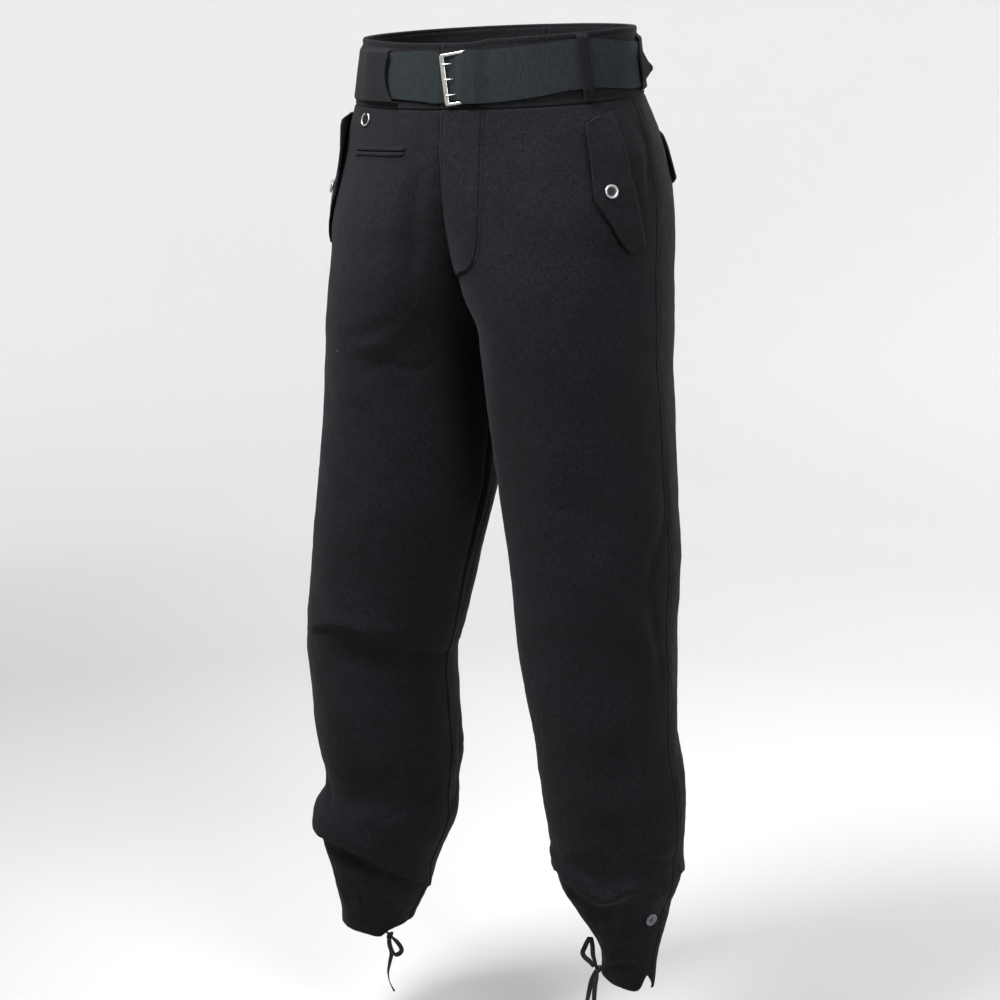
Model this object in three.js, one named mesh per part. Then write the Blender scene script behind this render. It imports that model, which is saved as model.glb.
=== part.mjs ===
// Tank crew trousers in black wool, standing hollow as worn, with their own webbing belt.
// Millimetres, +Z up, -Y the front, +X the wearer's left.
// The origin is the middle of the waist opening at half the height of the waistband.
import * as THREE from "three";

// ---- Driving sizes
const clothWall = 2; // wool of the legs
const bandWall = 3; // waistband, two layers
const seamGap = 0.3; // between pieces that are sewn together
const restGap = 0.8; // under what lies on curved cloth, so that its facets stay clear
const waistSlope = 0.115; // the waist falls this much for each millimetre towards the front
const levelHeight = -170; // the sections are level from here down
const waistSeam = -34; // height of the seam under the waistband
const waistTop = 36;
const forkHeight = -285; // where the legs part
const hemHeight = -1034;
const beltWall = 1.8; // webbing
const ringSides = 8; // sides of a thin wire or cord
const sides = ["left", "right"];

// ---- Small helpers
const named = (columns, rows) =>
  rows.map((row) => Object.fromEntries(columns.map((name, i) => [name, row[i]])));
const clamp = THREE.MathUtils.clamp;
const ease = (t) => THREE.MathUtils.smoothstep(t, 0, 1);

// A smooth curve through the rows of a table, read at one value of its first column.
function readTable(rows, key, value) {
  const down = rows[1][key] < rows[0][key];
  const passed = rows.findIndex((row) => (down ? row[key] <= value : row[key] >= value));
  const low = clamp((passed < 0 ? rows.length : passed) - 1, 0, rows.length - 2);
  const [from, to] = [rows[low], rows[low + 1]];
  const span = to[key] - from[key];
  const t = clamp((value - from[key]) / span, 0, 1);
  const slope = (index, name) => {
    const before = rows[Math.max(index - 1, 0)];
    const after = rows[Math.min(index + 1, rows.length - 1)];
    return (after[name] - before[name]) / (after[key] - before[key]);
  };
  const blend = (name) =>
    (2 * t ** 3 - 3 * t ** 2 + 1) * from[name] +
    (t ** 3 - 2 * t ** 2 + t) * span * slope(low, name) +
    (3 * t ** 2 - 2 * t ** 3) * to[name] +
    (t ** 3 - t ** 2) * span * slope(low + 1, name);
  return Object.fromEntries(Object.keys(from).map((name) => [name, blend(name)]));
}

// ---- The form: one level section for each row, and each half of it goes round one leg.
// x, y: middle of the half section; outer: reach to the side seam; front, back: its depths.
// forkFront, forkBack: reach towards the other leg. Where it passes x the half is cut at the
// centre seam, so the seam runs in under the body as the reach shrinks to x at the fork.
const hipColumns = ["z", "x", "outerLeft", "outerRight", "forkFront", "forkBack", "front", "back"];
const hipRows = named(hipColumns, [
  [waistTop, 0, 159, 158, 159, 159, 116, 118],
  [0, 0, 164, 164, 165, 165, 118, 121],
  [waistSeam, 0, 170, 170, 172, 172, 119, 124],
  [-60, 10, 170.5, 167, 110, 173, 121, 134],
  [-85, 20, 169, 162, 112, 165, 123, 144],
  [-110, 32, 162, 155, 106, 152, 125, 152],
  [-140, 45, 154.5, 148, 110, 150, 127, 158],
  [-170, 55, 146, 141, 101, 137, 129, 160],
  [-200, 64, 136.5, 133, 98, 123, 130, 158],
  [-225, 75, 125, 123, 99, 114, 131, 154],
  [-245, 83.5, 117, 116, 102.4, 109.4, 130, 149],
  [-262, 90, 111, 110.5, 100.8, 103.7, 129, 145],
  [-275, 95, 106, 106.5, 98.5, 99.3, 128, 141],
  [forkHeight, 98.5, 103, 104, 98.5, 98.5, 127, 138],
]);
const legColumns = ["z", "x", "y", "outer", "inner", "front", "back"];
const legRows = {
  left: named(legColumns, [
    [-310, 104.5, 0, 97.5, 103.5, 124, 132],
    [-345, 110, 1, 94.5, 107, 119, 124],
    [-385, 113, 2, 95, 107, 113, 117],
    [-430, 115, 3, 96, 104, 108, 112],
    [-476, 117, 4, 97, 99, 104, 108],
    [-521, 122, 5, 96, 97, 101, 104],
    [-567, 124, 6, 94, 94, 98, 100],
    [-614, 125, 7, 91, 90, 95, 96],
    [-660, 128, 9, 88, 88, 92, 93],
    [-707, 132, 10, 85, 84, 89, 88],
    [-754, 137, 13, 82, 82, 86, 86],
    [-802, 144, 15, 82, 82, 86, 86],
    [-850, 148, 18, 79, 79, 83, 83],
    [-898, 151, 19, 73, 73, 76, 76],
    [-922, 153, 19, 69, 69, 72, 72],
    [-946, 155, 19, 58, 58, 60, 60],
    [-970, 162, 19, 46, 46, 48, 48],
    [-1001, 166, 20, 34, 34, 36, 36],
    [hemHeight, 165, 20, 32, 32, 33, 33],
  ]),
  right: named(legColumns, [
    [-310, 104.5, 0, 99, 103.5, 122, 132],
    [-345, 110, 0, 96.5, 108, 118, 124],
    [-385, 114, -1, 98, 110, 113, 118],
    [-430, 117, -2, 99, 109, 110, 113],
    [-476, 121, -3, 101, 106, 108, 110],
    [-521, 127, -4, 101, 102, 106, 108],
    [-567, 136, -4, 98, 98, 102, 104],
    [-614, 144, -4, 95, 95, 99, 100],
    [-646, 150, -3, 93, 93, 96, 98],
    [-672, 156, -3, 90, 90, 94, 95],
    [-696, 156, -3, 88, 88, 92, 93],
    [-746, 153, -1, 87, 87, 91, 92],
    [-797, 150, 2, 85, 86, 90, 90],
    [-849, 151, 5, 79, 79, 83, 83],
    [-876, 157, 6, 86, 86, 90, 90],
    [-902, 161, 7, 83, 83, 87, 87],
    [-929, 164, 8, 74, 74, 78, 78],
    [-955, 165, 9, 65, 65, 68, 68],
    [-982, 168, 10, 58, 58, 61, 61],
    [-1010, 173, 11, 50, 50, 52, 52],
    [hemHeight, 178, 12, 44, 44, 46, 46],
  ]),
};
const sections = {};
for (const side of sides) {
  const outerName = side === "left" ? "outerLeft" : "outerRight";
  const hips = hipRows.map(({ z, x, forkFront, forkBack, front, back, [outerName]: outer }) => ({
    z, x, y: 0, outer, forkFront, forkBack, front, back,
  }));
  const legs = legRows[side].map(({ inner, ...row }) => ({ ...row, forkFront: inner, forkBack: inner }));
  sections[side] = [...hips, ...legs];
}

// The largest folds: each runs from one place to another on a leg, and stands out from it.
// Heights z, and arcs measured from the side seam, towards the front where positive.
const foldEnd = 0.08; // share of a fold over which it starts and ends
const foldColumns = ["side", "zFrom", "arcFrom", "zTo", "arcTo", "width", "height"];
const folds = named(foldColumns, [
  ["right", -885, 60, -935, 190, 16, 7], // calf cloth hanging over the ankle
  ["right", -640, 60, -640, 290, 14, 4], // break above the knee
  ["right", -690, 90, -672, 260, 20, -3],
  ["left", -905, 150, -890, 60, 14, 7], // calf cloth hanging over the ankle
  ["left", -500, 95, -665, 15, 30, 4], // soft drag line down to the side of the knee
  ["left", -735, 140, -700, 20, 22, 3],
  ["left", -850, -60, -895, -170, 18, 5],
  ["right", -860, -50, -905, -190, 18, 6],
]);
function foldHeight(side, z, arc) {
  let total = 0;
  for (const fold of folds.filter((one) => one.side === side)) {
    const run = new THREE.Vector2(fold.zTo - fold.zFrom, fold.arcTo - fold.arcFrom);
    const to = new THREE.Vector2(z - fold.zFrom, arc - fold.arcFrom);
    const along = clamp(to.dot(run) / run.lengthSq(), 0, 1);
    const away = to.sub(run.multiplyScalar(along)).length();
    const taper = Math.sin(Math.PI * clamp(along, foldEnd, 1 - foldEnd)) ** 0.5;
    total += fold.height * taper * Math.exp(-((away / fold.width) ** 2));
  }
  return total;
}

// Half of a half section, from the side seam to the centre seam or the inseam.
const arcSteps = 48;
function quarterCurve(side, z, facing) {
  const row = readTable(sections[side], "z", z);
  const depth = facing < 0 ? row.front : row.back;
  const inner = facing < 0 ? row.forkFront : row.forkBack;
  const end = Math.acos(clamp((seamGap / 2 - row.x) / inner, -1, 1));
  const points = [];
  for (let k = 0; k <= arcSteps; k++) {
    const turn = (end * k) / arcSteps;
    const across = turn < Math.PI / 2 ? row.outer : inner;
    const x = row.x + across * Math.cos(turn);
    points.push(new THREE.Vector2(x, row.y + facing * depth * Math.sin(turn)));
  }
  const lengths = [0];
  for (let k = 1; k <= arcSteps; k++) {
    lengths.push(lengths[k - 1] + points[k].distanceTo(points[k - 1]));
  }
  return { points, lengths, middle: new THREE.Vector2(row.x, row.y), total: lengths[arcSteps] };
}
function along(curve, reach) {
  const { points, lengths } = curve;
  const next = clamp(lengths.findIndex((length) => length >= reach), 1, arcSteps);
  const span = Math.max(lengths[next] - lengths[next - 1], 1e-6);
  const t = clamp((reach - lengths[next - 1]) / span, 0, 1);
  return points[next - 1].clone().lerp(points[next], t);
}

// A place on the form: its point, and the level direction out of the cloth there.
function onForm(side, z, arc, facing = arc < 0 ? 1 : -1) {
  const curve = quarterCurve(side, z, facing);
  const reach = clamp(Math.abs(arc), 0, curve.total);
  const flat = along(curve, reach);
  const before = along(curve, Math.max(reach - 1, 0));
  const after = along(curve, Math.min(reach + 1, curve.total));
  const out = new THREE.Vector2(after.y - before.y, before.x - after.x).normalize();
  if (out.dot(flat.clone().sub(curve.middle)) < 0) out.negate();
  const mirror = side === "left" ? 1 : -1;
  const slope = waistSlope * ease((z - levelHeight) / (waistSeam - levelHeight));
  return {
    at: new THREE.Vector3(mirror * flat.x, flat.y, z + slope * flat.y),
    out: new THREE.Vector3(mirror * out.x, out.y, 0),
  };
}
const quarterLength = (side, z, facing = -1) => quarterCurve(side, z, facing).total;

// The same place on the cloth itself, folds included. They die out at the seams.
const foldFade = 25;
function onCloth(side, z, arc, facing = arc < 0 ? 1 : -1) {
  const place = onForm(side, z, arc, facing);
  const fromInner = quarterLength(side, z, facing) - Math.abs(arc);
  const fade = ease(Math.min(Math.abs(arc), fromInner) / foldFade);
  place.at.addScaledVector(place.out, foldHeight(side, z, arc) * fade);
  return place;
}

// A place for a hard piece, whose direction is square to the cloth up and down as well.
function squareOn(side, z, arc) {
  const place = onCloth(side, z, arc);
  const reach = 6;
  const rise = onCloth(side, z + reach, arc).at.sub(onCloth(side, z - reach, arc).at).normalize();
  place.out.addScaledVector(rise, -place.out.dot(rise)).normalize();
  return place;
}

// A place on the waist, by its arc from the centre front, towards the wearer's left.
function onWaist(arc, z) {
  const side = arc < 0 ? "right" : "left";
  return onForm(side, z, quarterLength(side, z) - Math.abs(arc));
}

// ---- Solids
// A closed wall over a grid of places: each is moved out by inside and by outside.
function wallBetween(grid, inside, outside) {
  const rows = grid.length;
  const columns = grid[0].length;
  const positions = [];
  for (const distance of [outside, inside]) {
    grid.forEach((row, r) =>
      row.forEach((place, c) => {
        const shift = typeof distance === "function" ? distance(r, c) : distance;
        positions.push(...place.at.clone().addScaledVector(place.out, shift).toArray());
      }),
    );
  }
  const outer = (r, c) => r * columns + c;
  const inner = (r, c) => rows * columns + r * columns + c;
  const faces = [];
  const quad = (a, b, c, d) => faces.push(a, b, c, a, c, d);
  for (let r = 0; r < rows - 1; r++) {
    for (let c = 0; c < columns - 1; c++) {
      quad(outer(r, c), outer(r + 1, c), outer(r + 1, c + 1), outer(r, c + 1));
      quad(inner(r, c), inner(r, c + 1), inner(r + 1, c + 1), inner(r + 1, c));
    }
    quad(outer(r, 0), inner(r, 0), inner(r + 1, 0), outer(r + 1, 0));
    const last = columns - 1;
    quad(outer(r, last), outer(r + 1, last), inner(r + 1, last), inner(r, last));
  }
  for (let c = 0; c < columns - 1; c++) {
    quad(outer(0, c), outer(0, c + 1), inner(0, c + 1), inner(0, c));
    const last = rows - 1;
    quad(outer(last, c), inner(last, c), inner(last, c + 1), outer(last, c + 1));
  }
  return facingOut(positions, faces);
}
// Turns the faces round where the closed shape would otherwise be inside out.
function facingOut(positions, faces) {
  const point = (i) => new THREE.Vector3().fromArray(positions, 3 * faces[i]);
  let volume = 0;
  for (let i = 0; i < faces.length; i += 3) {
    volume += point(i).dot(point(i + 1).cross(point(i + 2)));
  }
  if (volume < 0) faces.reverse();
  const geometry = new THREE.BufferGeometry();
  geometry.setAttribute("position", new THREE.Float32BufferAttribute(positions, 3));
  geometry.setIndex(faces);
  return geometry;
}
const gridOf = (rows, columns, place) =>
  Array.from({ length: rows }, (_, r) => Array.from({ length: columns }, (_, c) => place(r, c)));
const spread = (from, to, index, count) => THREE.MathUtils.lerp(from, to, index / (count - 1));
const layer = (wall) => [restGap, restGap + wall]; // lying just off the cloth below it

// ---- Materials
const finish = (color, roughness, metalness = 0) =>
  new THREE.MeshStandardMaterial({ color, roughness, metalness });
const wool = () => finish(0x2b2a2e, 0.9);
const webbing = () => finish(0x343c3e, 0.8);
const steel = () => finish(0xb9bbbd, 0.3, 1);
const metalButton = () => finish(0x9a9b9c, 0.35, 1);
const hornButton = () => finish(0x4c4d50, 0.45);
const tape = () => finish(0x1f1f22, 0.85);

const trousers = new THREE.Group();
function addPiece(name, geometry, material, parent = trousers) {
  const mesh = new THREE.Mesh(geometry, material);
  mesh.name = name;
  parent.add(mesh);
  return mesh;
}

// ---- Leg panels: a front and a back for each leg, meeting at the side seam, inseam and fork.
const panelStretches = named(
  ["from", "to", "spans"],
  [
    [waistSeam - seamGap, -225, 7],
    [-225, forkHeight, 6],
    [forkHeight, -600, 8],
    [-600, -840, 8],
    [-840, -990, 11],
    [-990, hemHeight, 3],
  ],
);
const panelHeights = panelStretches.flatMap(({ from, to, spans }) =>
  Array.from({ length: spans }, (_, i) => spread(from, to, i, spans + 1)),
);
panelHeights.push(hemHeight);
const panelColumns = 10;
const evenLength = 240; // columns keep even steps of this near the side seam, on every row

// The hem dips and rises round the ankle: how far it hangs below the hem height at each arc.
const hemColumns = ["arc", "drop"];
const hemRows = {
  left: named(hemColumns, [
    [-105, 0], [-60, 1], [-11, 3], [0, 12], [11, -7], [23, 9], [45, 6], [80, 0], [110, -1],
  ]),
  right: named(hemColumns, [
    [-150, 0], [-70, 2], [0, 3], [50, 2], [80, 4], [100, 7], [112, 0], [135, -3], [150, -6],
  ]),
};
const hemStart = -1000;

for (const side of sides) {
  for (const [name, facing] of [["front", -1], ["back", 1]]) {
    const grid = gridOf(panelHeights.length, panelColumns, (r, c) => {
      const z = panelHeights[r];
      const total = quarterLength(side, z, facing);
      const share = c / (panelColumns - 1);
      const used = total - seamGap;
      const even = Math.min(evenLength, used);
      const reach = seamGap / 2 + even * share + (used - even) * share ** 3;
      const place = onCloth(side, z, -facing * reach, facing);
      const drop = readTable(hemRows[side], "arc", -facing * reach).drop;
      place.at.z -= drop * ease((hemStart - z) / (hemStart - hemHeight));
      return place;
    });
    addPiece(`${name}_leg_${side}`, wallBetween(grid, -clothWall, 0), wool());
  }
}

// ---- Waistband: a half on each side, joined at the centre back, open at the centre front.
const bandHeights = [waistSeam, 0, waistTop];
const bandColumns = 30;
for (const side of sides) {
  const grid = gridOf(bandHeights.length, bandColumns, (r, c) => {
    const z = bandHeights[r];
    const ahead = quarterLength(side, z) - seamGap / 2;
    const behind = quarterLength(side, z, 1) - seamGap / 2;
    return onForm(side, z, spread(ahead, -behind, c, bandColumns));
  });
  addPiece(`waistband_${side}`, wallBetween(grid, -bandWall, 0), wool());
}

// ---- Fly: the left front's edge, doubled out to the curved line of stitches.
const flyWall = 1.4;
const flyRows = named(
  ["z", "edge", "width"],
  [
    [-35, 0.6, 48],
    [-80, 0.6, 50],
    [-140, 0.6, 54],
    [-185, 0.6, 58],
    [-200, 0.8, 57],
    [-210, 1.5, 53],
    [-217, 3, 42],
    [-221, 6, 30],
  ],
);
const flyColumns = 4;
const flyGrid = gridOf(flyRows.length, flyColumns, (r, c) => {
  const { z, edge, width } = flyRows[r];
  return onCloth("left", z, quarterLength("left", z) - spread(edge, width, c, flyColumns));
});
addPiece("fly_placket", wallBetween(flyGrid, ...layer(flyWall)), wool());

// ---- Belt: one webbing strap, sewn in at both sides and closed by the buckle at the front.
// arc is from the centre front, lift is the gap under the strap, rise its middle height.
const beltRows = named(
  ["arc", "lift", "rise", "halfWidth"],
  [
    [256, 1, -2, 23],
    [248, 1, -2, 23],
    [240, 1, -2, 23],
    [228, 1, -1.5, 24],
    [215, 1, -1, 24],
    [202, 1, 1, 24],
    [188, 1, 3, 24.5],
    [173, 1, 5, 24.5],
    [157, 1, 5.5, 25],
    [140, 1, 5.5, 25.5],
    [122, 1, 4, 26],
    [105, 0.9, 2, 26.5],
    [90, 0.9, 1, 27],
    [75, 1, 0, 27],
    [63, 1, -0.8, 27],
    [54.5, 0.9, -1.5, 27],
    [45.5, 3.6, -1.5, 27],
    [41.5, 5.2, -1.5, 27],
    [28.5, 5.5, -1.5, 27],
    [25.5, 4.9, -1.8, 23],
    [18.5, 1.6, -2.6, 22.2],
    [11.5, 0.5, -3.6, 22.2],
    [2, 0.6, -2.5, 25],
    [-9, 0.6, -1, 27],
    [-22, 0.7, 0, 26],
    [-36, 0.8, 0.5, 25.5],
    [-49, 0.8, 0.5, 25],
    [-62, 0.8, 0.5, 24.5],
    [-85, 0.8, 0.5, 23.5],
    [-108, 0.8, 0.5, 23.5],
  ],
);
const beltGrid = gridOf(beltRows.length, 3, (r, c) => {
  const { arc, rise, halfWidth } = beltRows[r];
  return onWaist(arc, rise + spread(-halfWidth, halfWidth, c, 3));
});
const beltInside = (r) => beltRows[r].lift;
const beltOutside = (r) => beltRows[r].lift + beltWall;
addPiece("belt", wallBetween(beltGrid, beltInside, beltOutside), webbing());

// ---- Belt tunnel: the cloth cover from the slit at the right front, round the back, to the
// left side. It stands off the band where the ends of the strap lie inside it.
const tunnelWall = 1.6;
const tunnelHeights = [-32, -27.5, 25.5, 33];
const tunnelColumns = 42;
const slitArc = 68; // mouth at the right front
const mouthArc = 240; // mouth at the left side
const strapInside = { right: 44, left: 26 }; // length of the strap's ends inside it
const strapStep = 24; // over which the cover settles on to the band behind them
const tunnelLift = restGap + 0.2;
const strapRoom = beltWall + 0.4;
function tunnelPlace(r, c) {
  const z = tunnelHeights[r];
  const rightFront = quarterLength("right", z);
  const rightRound = rightFront + quarterLength("right", z, 1);
  const leftFront = quarterLength("left", z);
  const leftRound = leftFront + quarterLength("left", z, 1);
  const whole = rightRound - slitArc + leftRound - mouthArc;
  const gone = spread(0, whole, c, tunnelColumns);
  const onRight = gone <= rightRound - slitArc;
  const arc = onRight ? slitArc + gone : mouthArc + whole - gone;
  const place = onForm(onRight ? "right" : "left", z, (onRight ? rightFront : leftFront) - arc);
  const overStrap = Math.max(
    1 - ease((gone - strapInside.right) / strapStep),
    1 - ease((whole - gone - strapInside.left) / strapStep),
  );
  const edge = r === 0 || r === tunnelHeights.length - 1 ? 0 : 1;
  place.at.addScaledVector(place.out, edge * overStrap * strapRoom);
  return place;
}
const tunnelGrid = gridOf(tunnelHeights.length, tunnelColumns, tunnelPlace);
addPiece("belt_tunnel", wallBetween(tunnelGrid, tunnelLift, tunnelLift + tunnelWall), wool());

// ---- Belt loop at the left front, sewn down above and below the strap.
const loopWall = 2;
const loopWidth = 12;
const loopRows = named(
  ["z", "arc", "lift"],
  [
    [35, 150, 0.5],
    [33.5, 150.5, 2.2],
    [32, 151, 3.4],
    [10, 153.5, 3.6],
    [-15, 158.5, 3.6],
    [-22, 160, 3.3],
    [-26, 161, 1.6],
    [-33, 162, 0.5],
  ],
);
const loopGrid = gridOf(loopRows.length, 2, (r, c) =>
  onWaist(loopRows[r].arc + spread(-loopWidth / 2, loopWidth / 2, c, 2), loopRows[r].z),
);
const loopInside = (r) => loopRows[r].lift;
const loopOutside = (r) => loopRows[r].lift + loopWall;
addPiece("belt_loop_left", wallBetween(loopGrid, loopInside, loopOutside), wool());

// ---- Pointed tab at the left side, sewn down at the tunnel's mouth and standing off behind it.
const tabWall = 2.2;
const tabRoot = 10; // behind the side seam
const tabRows = named(
  ["reach", "low", "high", "lift"],
  [
    [0, -20, 15, 5.3],
    [5, -19.5, 14.5, 5.5],
    [11, -17, 8, 6.3],
    [18, -13.5, 0, 8],
    [26, -9, -6, 11],
  ],
);
const tabGrid = gridOf(tabRows.length, 3, (r, c) => {
  const { reach, low, high } = tabRows[r];
  return onForm("left", spread(low, high, c, 3), -tabRoot - reach);
});
const tabInside = (r) => tabRows[r].lift;
const tabOutside = (r) => tabRows[r].lift + tabWall;
addPiece("side_tab_left", wallBetween(tabGrid, tabInside, tabOutside), wool());

// ---- Slant pocket flaps: sewn along the slash near the side seam, free towards the front.
const flapWall = 2.2;
const flapRows = named(
  ["z", "arc", "freeZ", "freeArc", "riseLeft", "riseRight"],
  [
    [-45, 46, -50, 72, 8, 11],
    [-51, 45.6, -56, 82, 9, 11.5],
    [-62, 45, -66, 85, 8.5, 10],
    [-90, 44, -92, 88, 7, 6],
    [-118, 43, -118, 91, 6, 3],
    [-140, 41, -140, 93, 5, 1.5],
    [-160, 37, -161, 81, 4.5, 1],
    [-178, 33, -185, 66, 3.5, 0.8],
    [-187, 31, -196, 54, 2.5, 0.8],
  ],
);
const flapColumns = 4;
const flapBend = 1.4; // how late it leaves the cloth
for (const side of sides) {
  const grid = gridOf(flapRows.length, flapColumns, (r, c) => {
    const { z, arc, freeZ, freeArc } = flapRows[r];
    return onCloth(side, spread(z, freeZ, c, flapColumns), spread(arc, freeArc, c, flapColumns));
  });
  const rise = side === "left" ? "riseLeft" : "riseRight";
  const flapLift = (r, c) => restGap + flapRows[r][rise] * (c / (flapColumns - 1)) ** flapBend;
  const flapTop = (r, c) => flapLift(r, c) + flapWall;
  addPiece(`pocket_flap_${side}`, wallBetween(grid, flapLift, flapTop), wool());
}

// ---- Flap of the left back pocket, sewn along its top.
const rearFlapRows = named(
  ["arc", "z", "depth"],
  [
    [-58, -80, 40],
    [-76, -78, 45],
    [-105, -76, 54],
    [-124, -75, 59],
    [-143, -76, 54],
    [-172, -78, 45],
    [-190, -80, 40],
  ],
);
const rearFlapGrid = gridOf(rearFlapRows.length, 3, (r, c) => {
  const { arc, z, depth } = rearFlapRows[r];
  return onCloth("left", z - spread(0, depth, c, 3), arc);
});
const rearFlapLift = (r, c) => restGap + 0.2 + 1.6 * c;
const rearFlapTop = (r, c) => rearFlapLift(r, c) + flapWall;
addPiece("rear_flap_left", wallBetween(rearFlapGrid, rearFlapLift, rearFlapTop), wool());

// ---- Watch pocket at the right front: two welts with the slit between them.
const welt = { from: 202, to: 116, zFrom: -82, zTo: -84, height: 6.5, slit: 1, wall: 1.4, columns: 6 };
for (const [name, step] of [["upper", 1], ["lower", -1]]) {
  const grid = gridOf(2, welt.columns, (r, c) => {
    const away = welt.slit / 2 + r * welt.height;
    const z = spread(welt.zFrom, welt.zTo, c, welt.columns) + step * away;
    return onCloth("right", z, spread(welt.from, welt.to, c, welt.columns));
  });
  addPiece(`watch_welt_${name}`, wallBetween(grid, ...layer(welt.wall)), wool());
}

// ---- Places for hard pieces: a group whose +Z points out of the cloth and +Y up it.
function seat({ at, out }, lift) {
  const group = new THREE.Group();
  const across = new THREE.Vector3(0, 0, 1).cross(out).normalize();
  const up = out.clone().cross(across);
  group.quaternion.setFromRotationMatrix(new THREE.Matrix4().makeBasis(across, up, out));
  group.position.copy(at).addScaledVector(out, lift);
  trousers.add(group);
  return group;
}
const polygon = (radius, count) =>
  new THREE.Shape(new THREE.EllipseCurve(0, 0, radius, radius).getSpacedPoints(count).slice(0, count));
const tube = (path, radius, steps) =>
  new THREE.ExtrudeGeometry(polygon(radius, ringSides), { extrudePath: path, steps, bevelEnabled: false });

// ---- Ring for a watch chain, an open wire ring hanging at the waist seam.
const ring = { radius: 6.1, wire: 1.7, open: 0.42, arc: 119.5, z: -48, steps: 14, turn: 0.12, lift: 1.5 };
const ringArc = Array.from({ length: ring.steps + 1 }, (_, i) => {
  const turn = Math.PI / 2 + spread(ring.open, 2 * Math.PI - ring.open, i, ring.steps + 1);
  return new THREE.Vector3(ring.radius * Math.cos(turn), ring.radius * 1.08 * Math.sin(turn), 0);
});
const ringSeat = seat(squareOn("right", ring.z, ring.arc), ring.wire / 2 + ring.lift);
const ringPath = new THREE.CatmullRomCurve3(ringArc);
const watchRing = addPiece("watch_ring", tube(ringPath, ring.wire / 2, ring.steps), steel(), ringSeat);
watchRing.rotation.y = ring.turn;

// ---- Buttons: a dished disc with a rim, lying on the cloth.
function button(name, place, lift, radius, material) {
  const profile = [
    [0, 0],
    [radius * 0.8, 0],
    [radius, 0.9],
    [radius * 0.94, 2.2],
    [radius * 0.74, 2.4],
    [radius * 0.6, 1.5],
    [0, 1.4],
  ].map(([x, y]) => new THREE.Vector2(x, y));
  const disc = addPiece(name, new THREE.LatheGeometry(profile, 16), material, seat(place, lift));
  disc.rotation.x = Math.PI / 2;
}
const pocketButton = { z: -131.5, arc: 74, radius: 7.6 };
const ankleButton = { z: -950, arc: 27, radius: 7.4 };
const buttonGap = 0.6;
const flapRoot = { arc: 42.5, width: 49.5, left: 5.5, right: 2.3 }; // at the height of its button
for (const side of sides) {
  const flapAway = ((pocketButton.arc - flapRoot.arc) / flapRoot.width) ** flapBend;
  const flapHeight = restGap + flapRoot[side] * flapAway + flapWall;
  const onFlap = squareOn(side, pocketButton.z, pocketButton.arc);
  button(`pocket_button_${side}`, onFlap, flapHeight + buttonGap, pocketButton.radius, metalButton());
  const onAnkle = squareOn(side, ankleButton.z, ankleButton.arc);
  button(`ankle_button_${side}`, onAnkle, buttonGap, ankleButton.radius, hornButton());
}

// ---- Buckle: an oblong frame. The strap comes over its right bar and dives under the wide
// left bar, whose three prongs bite into the strap.
const buckle = {
  width: 32, height: 54, wideBar: 5, bar: 3, thick: 2.4, corner: 3,
  arc: 20, z: -2.5, lift: 3.3, lean: 0.158, tip: 0.075,
};
function oblong(left, right, low, high, corner) {
  const shape = new THREE.Shape();
  const quarter = Math.PI / 2;
  shape.absarc(right - corner, high - corner, corner, 0, quarter);
  shape.absarc(left + corner, high - corner, corner, quarter, 2 * quarter);
  shape.absarc(left + corner, low + corner, corner, 2 * quarter, 3 * quarter);
  shape.absarc(right - corner, low + corner, corner, 3 * quarter, 4 * quarter);
  return shape;
}
const halfWide = buckle.width / 2;
const halfHigh = buckle.height / 2;
const frameShape = oblong(-halfWide, halfWide, -halfHigh, halfHigh, buckle.corner);
const windowHigh = halfHigh - buckle.bar;
frameShape.holes.push(
  oblong(-halfWide + buckle.wideBar, halfWide - buckle.bar, -windowHigh, windowHigh, buckle.bar / 3),
);
const frameGeometry = new THREE.ExtrudeGeometry(frameShape, {
  depth: buckle.thick - 1, bevelEnabled: true, bevelThickness: 0.5, bevelSize: 0.5,
  bevelOffset: -0.5, bevelSegments: 1, curveSegments: 3,
});
frameGeometry.translate(0, 0, 0.5 - buckle.thick / 2);
const buckleArc = quarterLength("left", buckle.z) - buckle.arc;
const buckleSeat = seat(squareOn("left", buckle.z, buckleArc), buckle.lift);
const buckleTurn = new THREE.Group();
buckleTurn.rotation.set(0, buckle.tip, buckle.lean, "ZYX");
buckleSeat.add(buckleTurn);
addPiece("buckle_frame", frameGeometry, steel(), buckleTurn);

const prong = { length: 10, radius: 0.8, spacing: 16 };
for (const index of [0, 1, 2]) {
  const start = new THREE.Vector3(buckle.wideBar * 0.55 - halfWide, (1 - index) * prong.spacing, 0);
  start.z = buckle.thick / 2 + prong.radius + seamGap;
  const middle = start.clone().add(new THREE.Vector3(prong.length * 0.5, 0, 0.1));
  const end = start.clone().add(new THREE.Vector3(prong.length, 0, -0.7));
  const path = new THREE.QuadraticBezierCurve3(start, middle, end);
  addPiece(`buckle_prong_${index + 1}`, tube(path, prong.radius, 4), steel(), buckleTurn);
}

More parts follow.
